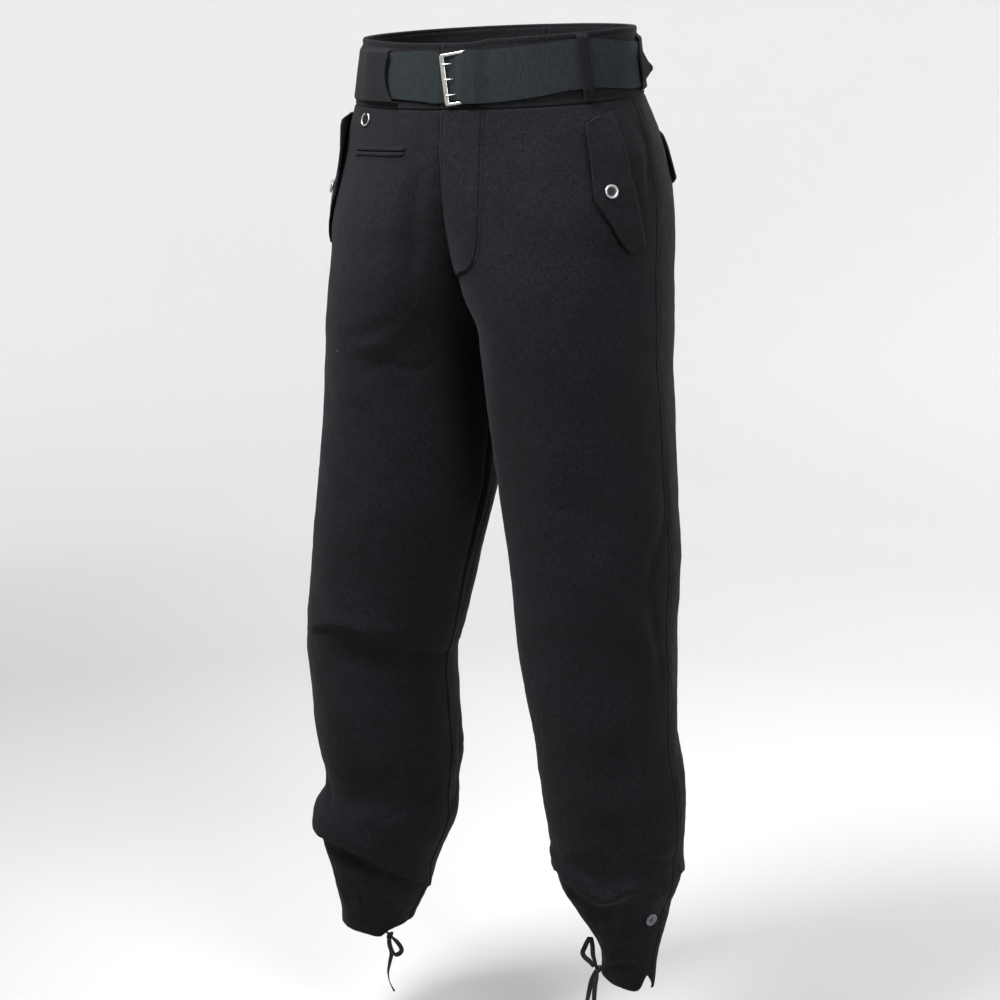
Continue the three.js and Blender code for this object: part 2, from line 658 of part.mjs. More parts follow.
// ---- Ankle ties: tape through each hem, knotted at the inner front, with a loop and free ends.
const tieRadius = 1.6;
const tieStep = 9; // length of tape for each step of a tie's solid
const tieRoutes = {
  tie_loop_left: [
    [137.3, -7.1, -1021.8], [134.5, -10.5, -1008], [132.5, -9, -996], [128.5, -6, -988.5], [123, -3, -996],
    [118, -1, -1006], [115.8, -1, -1012], [119, -2, -1016.5], [126, -4.5, -1018.5], [133.3, -5.7, -1023],
  ],
  tie_tail_left_1: [[138.9, -7.2, -1029], [137.8, -10.5, -1040], [136.5, -10.5, -1053], [135.5, -9, -1066]],
  tie_tail_left_2: [
    [134.5, -4.9, -1028.8], [130.5, -6.5, -1042], [127.5, -6, -1055], [124, -5, -1071], [121, -4, -1084],
  ],
  tie_loop_right: [
    [-137.1, -19.7, -1040], [-129.5, -21, -1043.5], [-124.5, -21, -1048],
    [-122.8, -20, -1054], [-127, -20, -1059.5], [-133, -20, -1061.5],
    [-137, -21, -1055], [-139, -22, -1047], [-140.6, -20.4, -1042.3],
  ],
  tie_tail_right: [
    [-143.8, -17.6, -1041.2], [-143.5, -16, -1052], [-141, -15, -1063], [-143, -16, -1076],
    [-144.8, -17, -1088], [-142.5, -18, -1099], [-138, -18, -1107], [-135, -18, -1111],
  ],
};
for (const [name, route] of Object.entries(tieRoutes)) {
  const path = new THREE.CatmullRomCurve3(route.map((point) => new THREE.Vector3(...point)));
  const steps = Math.ceil(path.getLength() / tieStep) + 2;
  addPiece(name, tube(path, tieRadius, steps), tape());
}
const knots = named(
  ["name", "x", "y", "z"],
  [
    ["tie_knot_left", 137.5, -4.4, -1025.5],
    ["tie_knot_right", -140.9, -18.8, -1038],
  ],
);
for (const { name, x, y, z } of knots) {
  const knot = addPiece(name, new THREE.SphereGeometry(3.8, 8, 6), tape());
  knot.position.set(x, y, z);
}

export default trousers;
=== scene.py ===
import math

import bmesh
import bpy
import numpy as np
from mathutils import Matrix, Vector, noise


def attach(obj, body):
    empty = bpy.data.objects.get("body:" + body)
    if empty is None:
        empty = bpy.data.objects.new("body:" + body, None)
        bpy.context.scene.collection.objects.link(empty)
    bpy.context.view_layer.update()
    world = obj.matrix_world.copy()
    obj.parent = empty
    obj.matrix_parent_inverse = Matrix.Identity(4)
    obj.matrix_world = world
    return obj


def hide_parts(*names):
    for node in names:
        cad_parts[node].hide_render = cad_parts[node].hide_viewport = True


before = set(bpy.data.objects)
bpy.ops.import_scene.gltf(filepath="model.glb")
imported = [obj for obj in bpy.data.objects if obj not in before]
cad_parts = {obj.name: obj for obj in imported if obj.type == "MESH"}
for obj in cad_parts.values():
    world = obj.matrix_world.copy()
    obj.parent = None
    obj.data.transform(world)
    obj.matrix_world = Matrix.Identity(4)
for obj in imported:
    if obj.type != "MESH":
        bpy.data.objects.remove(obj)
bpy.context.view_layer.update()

mm = 0.001
scene = bpy.context.scene

# Camera: a long lens a little below the waist, 30 degrees round to the wearer's left.
cameraView = {"place": (1.125, -1.9486, -0.057), "turn": (79.2, 0, 30), "lens": 72, "shift": 0.003}
cameraData = bpy.data.cameras.new("camera")
cameraData.lens = cameraView["lens"]
cameraData.sensor_width = 36
cameraData.shift_x = cameraView["shift"]
cameraData.clip_end = 40
camera = bpy.data.objects.new("camera", cameraData)
camera.location = cameraView["place"]
camera.rotation_euler = [math.radians(angle) for angle in cameraView["turn"]]
scene.collection.objects.link(camera)
scene.camera = camera


# Small helpers
def srgb(code):
    parts = [int(code[i:i + 2], 16) / 255 for i in (1, 3, 5)]
    return (*[p / 12.92 if p <= 0.04045 else ((p + 0.055) / 1.055) ** 2.4 for p in parts], 1)


def ease(t):
    t = np.clip(t, 0, 1)
    return t * t * (3 - 2 * t)


def bump(distance, width):
    return np.exp(-(distance / width) ** 2)


# A smooth curve through the rows of a table, read at many values of its first column.
def readRows(rows, values):
    rows = np.asarray(rows, float)
    if rows[1, 0] < rows[0, 0]:
        rows = rows[::-1]
    keys, rest = rows[:, 0], rows[:, 1:]
    values = np.asarray(values, float)
    last = len(keys) - 1
    low = np.clip(np.searchsorted(keys, values) - 1, 0, last - 1)
    before, after = np.maximum(np.arange(last + 1) - 1, 0), np.minimum(np.arange(last + 1) + 1, last)
    slopes = (rest[after] - rest[before]) / (keys[after] - keys[before])[:, None]
    span = (keys[low + 1] - keys[low])[..., None]
    t = np.clip((values - keys[low])[..., None] / span, 0, 1)
    return ((2 * t ** 3 - 3 * t ** 2 + 1) * rest[low] + (t ** 3 - 2 * t ** 2 + t) * span * slopes[low]
            + (3 * t ** 2 - 2 * t ** 3) * rest[low + 1] + (t ** 3 - t ** 2) * span * slopes[low + 1])


def smoothLine(points, count):
    points = np.asarray(points, float)
    steps = np.concatenate([[0], np.cumsum(np.linalg.norm(np.diff(points, axis=0), axis=1))])
    return readRows(np.column_stack([steps, points]), np.linspace(0, steps[-1], count))


# Materials. One function adds a node with its settings, its sockets and, on a ramp, its stops.
def addNode(tree, kind, sockets=None, stops=None, **settings):
    node = tree.nodes.new(kind)
    for name, value in settings.items():
        setattr(node, name, value)
    for name, value in (sockets or {}).items():
        if isinstance(value, bpy.types.NodeSocket):
            tree.links.new(value, node.inputs[name])
        else:
            node.inputs[name].default_value = value
    if stops:
        ramp = node.color_ramp
        ramp.elements[0].position, ramp.elements[-1].position = stops[0][0], stops[-1][0]
        for position, _ in stops[1:-1]:
            ramp.elements.new(position)
        for element, (_, color) in zip(ramp.elements, stops):
            element.color = srgb(color) if isinstance(color, str) else (color, color, color, 1)
    return node


def newMaterial(name):
    material = bpy.data.materials.new(name)
    material.use_nodes = True
    material.node_tree.nodes.clear()
    return material, material.node_tree


def finishMaterial(tree, color, height, strength, depth, **sockets):
    normal = addNode(tree, "ShaderNodeBump", {"Height": height, "Strength": strength, "Distance": depth * mm})
    shader = addNode(tree, "ShaderNodeBsdfPrincipled",
                     {"Base Color": color, "Normal": normal.outputs[0], **{k: v for k, v in sockets.items()}})
    addNode(tree, "ShaderNodeOutputMaterial", {"Surface": shader.outputs[0]})


waveTurn = 0.314  # a wave texture repeats every 0.314 / scale

# Woven wool, fulled and brushed: a dull dark face with a short nap that blooms at grazing angles,
# yarns that just show through it, cloudy shade, and a little pale lint.
woolLook = {
    "dark": "#040405", "light": "#1c1b20", "lint": "#8d8b8a", "cloudDark": 0.74,
    "yarn": 1.3,  # mm between yarns, twice the real spacing so that it shows
    "nap": 1.7, "fibre": 1.1, "fibreLength": 6.5,  # mm across a tuft, and the width and length of a fibre bundle
    "cloud": 70, "lintCell": 46, "lintSize": 0.55, "sheen": 0.045,
}


def makeWool(name, look):
    material, tree = newMaterial(name)
    places = addNode(tree, "ShaderNodeTexCoord")
    flat, solid = places.outputs["UV"], places.outputs["Object"]
    yarns = [addNode(tree, "ShaderNodeTexWave",
                     {"Vector": flat, "Scale": waveTurn / (look["yarn"] * mm), "Distortion": 2.4,
                      "Detail": 2.0, "Detail Scale": 1.2},
                     bands_direction=direction).outputs["Fac"] for direction in "XY"]
    mixed = addNode(tree, "ShaderNodeMath", {0: yarns[0], 1: yarns[1]}, operation="MULTIPLY").outputs[0]
    mixed = addNode(tree, "ShaderNodeMath", {0: mixed, 1: 0.1}, operation="MULTIPLY").outputs[0]
    short, long = 1 / (look["fibre"] * mm), 1 / (look["fibreLength"] * mm)
    for vector, size, share in ((flat, (short, long, 1), 0.3), (flat, (long, short, 1), 0.27),
                                (solid, [1 / (look["nap"] * mm)] * 3, 0.43)):
        placed = addNode(tree, "ShaderNodeMapping", {"Vector": vector, "Scale": size}).outputs[0]
        fibres = addNode(tree, "ShaderNodeTexNoise",
                         {"Vector": placed, "Scale": 1.0, "Detail": 4.0, "Roughness": 0.62}).outputs["Fac"]
        mixed = addNode(tree, "ShaderNodeMath", {0: fibres, 1: share, 2: mixed}, operation="MULTIPLY_ADD").outputs[0]
    cloud = addNode(tree, "ShaderNodeTexNoise",
                    {"Vector": solid, "Scale": 1 / (look["cloud"] * mm), "Detail": 3.0, "Roughness": 0.55}).outputs["Fac"]
    shade = addNode(tree, "ShaderNodeValToRGB", {"Fac": mixed},
                    stops=[(0.45, look["dark"]), (0.66, look["light"])]).outputs["Color"]
    clouds = addNode(tree, "ShaderNodeValToRGB", {"Fac": cloud},
                     stops=[(0.3, look["cloudDark"]), (0.7, 1.0)]).outputs["Color"]
    cloudy = addNode(tree, "ShaderNodeMix", {"Factor": 1.0, 6: shade, 7: clouds},
                     data_type="RGBA", blend_type="MULTIPLY").outputs[2]
    # lint: a few short pale fibres, stretched one way in one set and the other way in the other
    specks = []
    for turn, stretch in ((0.4, (1, 1, 5)), (1.1, (4, 1, 1.3))):
        turned = addNode(tree, "ShaderNodeMapping",
                         {"Vector": solid, "Rotation": (turn, turn, 0),
                          "Scale": [1 / (look["lintCell"] * mm * s ** 0.5) for s in stretch]}).outputs[0]
        cell = addNode(tree, "ShaderNodeTexVoronoi", {"Vector": turned, "Scale": 1.0, "Randomness": 1.0})
        near = addNode(tree, "ShaderNodeMath",
                       {0: cell.outputs["Distance"], 1: look["lintSize"] / look["lintCell"]},
                       operation="LESS_THAN").outputs[0]
        one = addNode(tree, "ShaderNodeSeparateColor", {"Color": cell.outputs["Color"]}).outputs[0]
        some = addNode(tree, "ShaderNodeMath", {0: one, 1: 0.62}, operation="GREATER_THAN").outputs[0]
        specks.append(addNode(tree, "ShaderNodeMath", {0: near, 1: some}, operation="MULTIPLY").outputs[0])
    lint = addNode(tree, "ShaderNodeMath", {0: specks[0], 1: specks[1]}, operation="MAXIMUM").outputs[0]
    color = addNode(tree, "ShaderNodeMix", {"Factor": lint, 6: cloudy, 7: srgb(look["lint"])},
                    data_type="RGBA").outputs[2]
    finishMaterial(tree, color, mixed, 0.9, 1.2, **{
        "Roughness": 0.96, "Specular IOR Level": 0.09, "IOR": 1.54, "Sheen Weight": look["sheen"],
        "Sheen Roughness": 0.42, "Sheen Tint": srgb("#a4a1ae")})
    return material


# Cotton webbing, woven tight with ribs across it, dyed dark grey-green: dull, with a ribbed glint.
webbingLook = {"dark": "#040505", "light": "#191e20", "rib": 1.7, "yarn": 1.4}


def makeWebbing():
    material, tree = newMaterial("wovenCottonWebbing")
    places = addNode(tree, "ShaderNodeTexCoord")
    flat, solid = places.outputs["UV"], places.outputs["Object"]
    ribs = addNode(tree, "ShaderNodeTexWave",
                   {"Vector": flat, "Scale": waveTurn / (webbingLook["rib"] * mm), "Distortion": 0.7,
                    "Detail": 2.0, "Detail Scale": 2.0}, bands_direction="X").outputs["Fac"]
    yarns = addNode(tree, "ShaderNodeTexWave",
                    {"Vector": flat, "Scale": waveTurn / (webbingLook["yarn"] * mm), "Distortion": 1.2,
                     "Detail": 2.0}, bands_direction="Y").outputs["Fac"]
    streaks = addNode(tree, "ShaderNodeMapping", {"Vector": flat, "Scale": (700, 90, 1)}).outputs[0]
    streak = addNode(tree, "ShaderNodeTexNoise", {"Vector": streaks, "Scale": 1.0, "Detail": 3.0}).outputs["Fac"]
    fuzz = addNode(tree, "ShaderNodeTexNoise", {"Vector": solid, "Scale": 620.0, "Detail": 4.0}).outputs["Fac"]
    height = addNode(tree, "ShaderNodeMath", {0: yarns, 1: 0.35, 2: ribs}, operation="MULTIPLY_ADD").outputs[0]
    tone = addNode(tree, "ShaderNodeMath", {0: fuzz, 1: 0.4}, operation="MULTIPLY").outputs[0]
    for value, share in ((height, 0.3), (streak, 0.6)):
        tone = addNode(tree, "ShaderNodeMath", {0: value, 1: share, 2: tone}, operation="MULTIPLY_ADD").outputs[0]
    color = addNode(tree, "ShaderNodeValToRGB", {"Fac": tone},
                    stops=[(0.5, webbingLook["dark"]), (0.82, webbingLook["light"])]).outputs["Color"]
    finishMaterial(tree, color, height, 0.6, 0.35, **{
        "Roughness": 0.88, "Specular IOR Level": 0.09, "IOR": 1.53, "Sheen Weight": 0.07,
        "Sheen Roughness": 0.5, "Sheen Tint": srgb("#8f9ca0")})
    return material


# A metal or horn face: a base shade with a fine grain, scratches or streaks worked over it.
def makeHard(name, dark, light, grain, stretch, **sockets):
    material, tree = newMaterial(name)
    solid = addNode(tree, "ShaderNodeTexCoord").outputs["Object"]
    turned = addNode(tree, "ShaderNodeMapping", {"Vector": solid, "Scale": stretch}).outputs[0]
    worn = addNode(tree, "ShaderNodeTexNoise",
                   {"Vector": turned, "Scale": 1 / (grain * mm), "Detail": 4.0, "Roughness": 0.6}).outputs["Fac"]
    color = addNode(tree, "ShaderNodeValToRGB", {"Fac": worn}, stops=[(0.3, dark), (0.7, light)]).outputs["Color"]
    gloss = addNode(tree, "ShaderNodeMapRange",
                    {"Value": worn, "To Min": sockets["Roughness"] - 0.07, "To Max": sockets["Roughness"] + 0.1})
    sockets["Roughness"] = gloss.outputs[0]
    finishMaterial(tree, color, worn, 0.15, 0.05, **sockets)
    return material


# Cotton tape and thread: a fine diagonal twist of dyed yarn, soft and dull.
def makeTwist(name, dark, light, pitch):
    material, tree = newMaterial(name)
    solid = addNode(tree, "ShaderNodeTexCoord").outputs["Object"]
    turned = addNode(tree, "ShaderNodeMapping", {"Vector": solid, "Rotation": (0.5, 0.6, 0.7)}).outputs[0]
    twist = addNode(tree, "ShaderNodeTexWave",
                    {"Vector": turned, "Scale": waveTurn / (pitch * mm), "Distortion": 1.5, "Detail": 2.0},
                    bands_direction="DIAGONAL").outputs["Fac"]
    fuzz = addNode(tree, "ShaderNodeTexNoise", {"Vector": solid, "Scale": 900.0, "Detail": 3.0}).outputs["Fac"]
    tone = addNode(tree, "ShaderNodeMath", {0: twist, 1: 0.5, 2: fuzz}, operation="MULTIPLY_ADD").outputs[0]
    color = addNode(tree, "ShaderNodeValToRGB", {"Fac": tone}, stops=[(0.3, dark), (1.0, light)]).outputs["Color"]
    finishMaterial(tree, color, tone, 0.4, 0.2, **{
        "Roughness": 0.9, "Specular IOR Level": 0.15, "Sheen Weight": 0.06, "Sheen Tint": srgb("#8a8a90")})
    return material


brushedWool = makeWool("brushedWool", woolLook)
pressedWool = makeWool("pressedWool", {**woolLook, "nap": 1.5, "light": "#18171b"})
webbing = makeWebbing()
# Steel wire and plate, nickel plated and polished, then dulled by handling.
nickelSteel = makeHard("nickelPlatedSteel", "#8f8e8b", "#c4c2be", 1.2, (1, 1, 0.2),
                       **{"Metallic": 1.0, "Roughness": 0.27})
# Sheet metal stamped to a dish and tumbled: duller and greyer than the buckle.
stampedMetal = makeHard("stampedZinc", "#6d6d70", "#a8a8aa", 0.9, (1, 1, 1),
                        **{"Metallic": 1.0, "Roughness": 0.36})
# Buffalo horn turned and waxed: grey with darker streaks, a soft gloss.
turnedHorn = makeHard("turnedHorn", "#2c2d30", "#55565b", 2.5, (1, 0.3, 1),
                      **{"Roughness": 0.42, "IOR": 1.56})
# The same metal, darkened for the button's dish: painted shade in the hollow, partly tarnish; nearly black and dull.
dishShadeMetal = makeHard("dishShadeAndTarnishZinc", "#1b1b1d", "#3a3a3c", 0.9, (1, 1, 1),
                          **{"Metallic": 1.0, "Roughness": 0.55})
cottonTape = makeTwist("wovenCottonTape", "#0c0c0e", "#1d1d20", 1.0)
sewingThread = makeTwist("cottonSewingThread", "#0a0a0c", "#1d1d21", 0.5)


# Objects
def addPiece(name, mesh, material, smooth=True):
    mesh.materials.clear()
    mesh.materials.append(material)
    mesh.polygons.foreach_set("use_smooth", [smooth] * len(mesh.polygons))
    piece = bpy.data.objects.new(name, mesh)
    scene.collection.objects.link(piece)
    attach(piece, "root")
    return piece


def meshOf(bm, name):
    mesh = bpy.data.meshes.new(name)
    bm.to_mesh(mesh)
    bm.free()
    return mesh


def movePoints(mesh, points):
    mesh.vertices.foreach_set("co", np.asarray(points, np.float32).ravel())
    mesh.update()


def pointsOf(mesh):
    flat = np.empty(3 * len(mesh.vertices), np.float32)
    mesh.vertices.foreach_get("co", flat)
    return flat.reshape(-1, 3).astype(float)


# A tube or tape along a line: its section is turned with the line and twisted on the way.
def sweep(bm, line, width, thick, twist=0.0, sides=8, taper=None, ends=True):
    line = np.asarray(line, float)
    steps = np.gradient(line, axis=0)
    steps /= np.linalg.norm(steps, axis=1)[:, None]
    normal = np.cross(steps[0], (0.5, -0.85, 0.17))
    normal /= np.linalg.norm(normal)
    turns = np.arange(sides) * 2 * math.pi / sides + math.pi / sides
    squared = np.sign(np.cos(turns)) * abs(np.cos(turns)) ** 0.6, np.sign(np.sin(turns)) * abs(np.sin(turns)) ** 0.6
    made = bmesh.ops.create_circle(bm, segments=sides, radius=1, cap_ends=False)
    ring = made["verts"]
    edges = [edge for edge in {e for v in ring for e in v.link_edges} if all(v in ring for v in edge.verts)]
    rings = []
    for index, (point, step) in enumerate(zip(line, steps)):
        normal = normal - step * normal.dot(step)
        normal /= np.linalg.norm(normal)
        across = np.cross(step, normal)
        angle = twist * index / (len(line) - 1)
        first = normal * math.cos(angle) + across * math.sin(angle)
        second = np.cross(step, first)
        size = 1 if taper is None else taper[index]
        if index:
            grown = bmesh.ops.extrude_edge_only(bm, edges=edges)["geom"]
            fresh = [g for g in grown if isinstance(g, bmesh.types.BMVert)]
            edges = [g for g in grown if isinstance(g, bmesh.types.BMEdge)
                     and all(v in set(fresh) for v in g.verts)]
            order = {old: new for old in ring for e in old.link_edges
                     for new in [e.other_vert(old)] if new in set(fresh)}
            ring = [order[old] for old in ring]
        for vert, u, v in zip(ring, *squared):
            vert.co = Vector((point + size * (first * u * width / 2 + second * v * thick / 2)) * mm)
        rings.append(ring)
    if ends:
        for end in (rings[0], rings[-1]):
            bm.faces.new(end)
    return rings


def closeShape(bm):
    bmesh.ops.remove_doubles(bm, verts=bm.verts, dist=1e-6)
    bmesh.ops.recalc_face_normals(bm, faces=bm.faces)


# Ankle ties: flat tape through each hem, knotted at the inner front, with a loop and free ends.
tie = {"width": 6.0, "thick": 1.1, "step": 2.0, "knot": 3.5, "knotTape": 2.8}
tieRoutes = {
    "tie_loop_left": ([(137.3, -7.1, -1021.8), (134.5, -10.5, -1008), (132.5, -9, -996), (128.5, -6, -988.5),
                       (123, -3, -996), (118, -1, -1006), (115.8, -1, -1012), (119, -2, -1016.5),
                       (126, -4.5, -1018.5), (133.3, -5.7, -1023)], 1.2, "knot"),
    "tie_tail_left_1": ([(138.9, -7.2, -1029), (137.8, -10.5, -1040), (136.5, -10.5, -1053),
                         (135.5, -9, -1066)], 0.6, "bare"),
    "tie_tail_left_2": ([(134.5, -4.9, -1028.8), (130.5, -6.5, -1042), (127.5, -6, -1055), (124, -5, -1071),
                         (121, -4, -1084)], 1.0, "bare"),
    "tie_loop_right": ([(-137.1, -19.7, -1040), (-129.5, -21, -1043.5), (-124.5, -21, -1048),
                        (-122.8, -20, -1054), (-127, -20, -1059.5), (-133, -20, -1061.5), (-137, -21, -1055),
                        (-139, -22, -1047), (-140.6, -20.4, -1042.3)], 0.8, "knot"),
    "tie_tail_right": ([(-143.8, -17.6, -1041.2), (-143.5, -16, -1052), (-141, -15, -1063), (-143, -16, -1076),
                        (-144.8, -17, -1088), (-142.5, -18, -1099), (-138, -18, -1107), (-135, -18, -1111)],
                       1.8, "bare"),
}
knotPlaces = {"tie_knot_left": (137.5, -4.4, -1025.5), "tie_knot_right": (-140.9, -18.8, -1038)}
for name, middle in knotPlaces.items():
    bm = bmesh.new()
    turn = np.linspace(0, 2 * math.pi, 49)
    over = np.column_stack([np.sin(turn) + 2 * np.sin(2 * turn), -1.4 * np.sin(3 * turn),
                            np.cos(turn) - 2 * np.cos(2 * turn)])
    sweep(bm, np.array(middle) + over * tie["knot"] * 0.42, tie["knotTape"], 1.5, twist=math.pi, ends=False)
    closeShape(bm)
    addPiece(name + "_tied", meshOf(bm, name), cottonTape)
    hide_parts(name)
for name, (route, twist, end) in tieRoutes.items():
    length = np.linalg.norm(np.diff(smoothLine(route, 200), axis=0), axis=1).sum()
    line = smoothLine(route, int(length / tie["step"]) + 1)
    bm = bmesh.new()
    pinch = 1 - 0.45 * bump(np.linspace(0, 1, len(line)), 0.12)
    sweep(bm, line, tie["width"], tie["thick"], twist=twist, taper=pinch)
    closeShape(bm)
    tape = addPiece(name + "_tape", meshOf(bm, name), cottonTape)
    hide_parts(name)
print("camera and ties made")

# The form under the cloth: one level section for each row, and each half of it goes round one leg.
# Columns: height, middle across, reach to the side seam left and right, reach towards the other
# leg at the front and back, depth at the front and back.
hipRows = [
    (36, 0, 159, 158, 159, 159, 116, 118), (0, 0, 164, 164, 165, 165, 118, 121),
    (-34, 0, 170, 170, 172, 172, 119, 124), (-60, 10, 170.5, 167, 110, 173, 121, 134),
    (-85, 20, 169, 162, 112, 165, 123, 144), (-110, 32, 162, 155, 106, 152, 125, 152),
    (-140, 45, 154.5, 148, 110, 150, 127, 158), (-170, 55, 146, 141, 101, 137, 129, 160),
    (-200, 64, 136.5, 133, 98, 123, 130, 158), (-225, 75, 125, 123, 99, 114, 131, 154),
    (-245, 83.5, 117, 116, 102.4, 109.4, 130, 149), (-262, 90, 111, 110.5, 100.8, 103.7, 129, 145),
    (-275, 95, 106, 106.5, 98.5, 99.3, 128, 141), (-285, 98.5, 103, 104, 98.5, 98.5, 127, 138),
]
# Columns: height, middle across and back, reach outwards and inwards, depth at the front and back.
legRows = {
    "left": [
        (-310, 104.5, 0, 97.5, 103.5, 124, 132), (-345, 110, 1, 94.5, 107, 119, 124),
        (-385, 113, 2, 95, 107, 113, 117), (-430, 115, 3, 96, 104, 108, 112),
        (-476, 117, 4, 97, 99, 104, 108), (-521, 122, 5, 96, 97, 101, 104), (-567, 124, 6, 94, 94, 98, 100),
        (-614, 125, 7, 91, 90, 95, 96), (-660, 128, 9, 88, 88, 92, 93), (-707, 132, 10, 85, 84, 89, 88),
        (-754, 137, 13, 82, 82, 86, 86), (-802, 144, 15, 82, 82, 86, 86), (-850, 148, 18, 79, 79, 83, 83),
        (-898, 151, 19, 73, 73, 76, 76), (-922, 153, 19, 69, 69, 72, 72), (-946, 155, 19, 58, 58, 60, 60),
        (-970, 162, 19, 46, 46, 48, 48), (-1001, 166, 20, 34, 34, 36, 36), (-1034, 165, 20, 32, 32, 33, 33),
    ],
    "right": [
        (-310, 104.5, 0, 99, 103.5, 122, 132), (-345, 110, 0, 96.5, 108, 118, 124),
        (-385, 114, -1, 98, 110, 113, 118), (-430, 117, -2, 99, 109, 110, 113),
        (-476, 121, -3, 101, 106, 108, 110), (-521, 127, -4, 101, 102, 106, 108),
        (-567, 136, -4, 98, 98, 102, 104), (-614, 144, -4, 95, 95, 99, 100), (-646, 150, -3, 93, 93, 96, 98),
        (-672, 156, -3, 90, 90, 94, 95), (-696, 156, -3, 88, 88, 92, 93), (-746, 153, -1, 87, 87, 91, 92),
        (-797, 150, 2, 85, 86, 90, 90), (-849, 151, 5, 79, 79, 83, 83), (-876, 157, 6, 86, 86, 90, 90),
        (-902, 161, 7, 83, 83, 87, 87), (-929, 164, 8, 74, 74, 78, 78), (-955, 165, 9, 65, 65, 68, 68),
        (-982, 168, 10, 58, 58, 61, 61), (-1010, 173, 11, 50, 50, 52, 52), (-1034, 178, 12, 44, 44, 46, 46),
    ],
}
build = {"waistSlope": 0.115, "levelHeight": -170, "waistSeam": -34, "waistTop": 36, "fork": -285,
         "hem": -1034, "gap": 0.3, "wall": 2.0, "band": 3.0}
formHeights = np.arange(-1040.0, 42.0, 2.0)
formShares = np.linspace(0, 1, 129)


def makeForm(side, facing):
    outer = 2 if side == "left" else 3
    hips = [(r[0], r[1], 0, r[outer], r[4] if facing < 0 else r[5], r[6] if facing < 0 else r[7]) for r in hipRows]
    legs = [(r[0], r[1], r[2], r[3], r[4], r[5] if facing < 0 else r[6]) for r in legRows[side]]
    x, y, reach, inner, depth = readRows(hips + legs, formHeights).T
    end = np.arccos(np.clip((build["gap"] / 2 - x) / inner, -1, 1))
    turn = end[:, None] * np.linspace(0, 1, 361)
    across = np.where(turn < math.pi / 2, reach[:, None], inner[:, None])
    px, py = x[:, None] + across * np.cos(turn), y[:, None] + facing * depth[:, None] * np.sin(turn)
    gone = np.cumsum(np.hypot(np.diff(px), np.diff(py)), axis=1)
    gone = np.concatenate([np.zeros((len(x), 1)), gone], axis=1)
    points = np.array([[np.interp(formShares * g[-1], g, px[i]), np.interp(formShares * g[-1], g, py[i])]
                       for i, g in enumerate(gone)]).transpose(0, 2, 1)
    slopes = np.gradient(points, axis=1)
    slopes /= np.linalg.norm(slopes, axis=2)[..., None]
    outs = np.stack([slopes[..., 1], -slopes[..., 0]], axis=2) * facing
    return {"points": points, "outs": outs, "totals": gone[:, -1]}


forms = {(side, facing): makeForm(side, facing) for side in ("left", "right") for facing in (-1, 1)}


def totalArc(side, facing, z):
    return np.interp(z, formHeights, forms[side, facing]["totals"])


# Points on the form and the level directions out of it. Arcs start at the side seam, + to the front.
def onForm(side, z, arc, facing=None):
    z, arc = np.broadcast_arrays(np.asarray(z, float), np.asarray(arc, float))
    found = []
    for face in (-1, 1) if facing is None else (facing,):
        form = forms[side, face]
        row = np.clip((z - formHeights[0]) / 2.0, 0, len(formHeights) - 1.001)
        column = np.clip(abs(arc) / totalArc(side, face, z), 0, 1) * (len(formShares) - 1.001)
        r, c = row.astype(int), column.astype(int)
        fr, fc = (row - r)[..., None], (column - c)[..., None]
        read = [(form[key][r, c] * (1 - fr) + form[key][r + 1, c] * fr) * (1 - fc)
                + (form[key][r, c + 1] * (1 - fr) + form[key][r + 1, c + 1] * fr) * fc
                for key in ("points", "outs")]
        found.append(read)
    back = (arc < 0)[..., None]
    flat, out = found[0] if facing is not None else [np.where(back, b, a) for a, b in zip(*found)]
    mirror = 1 if side == "left" else -1
    slope = build["waistSlope"] * ease((z - build["levelHeight"]) / (build["waistSeam"] - build["levelHeight"]))
    at = np.stack([mirror * flat[..., 0], flat[..., 1], z + slope * flat[..., 1]], axis=-1)
    level = np.stack([mirror * out[..., 0], out[..., 1], 0 * z], axis=-1)
    return at, level / np.linalg.norm(level, axis=-1)[..., None]
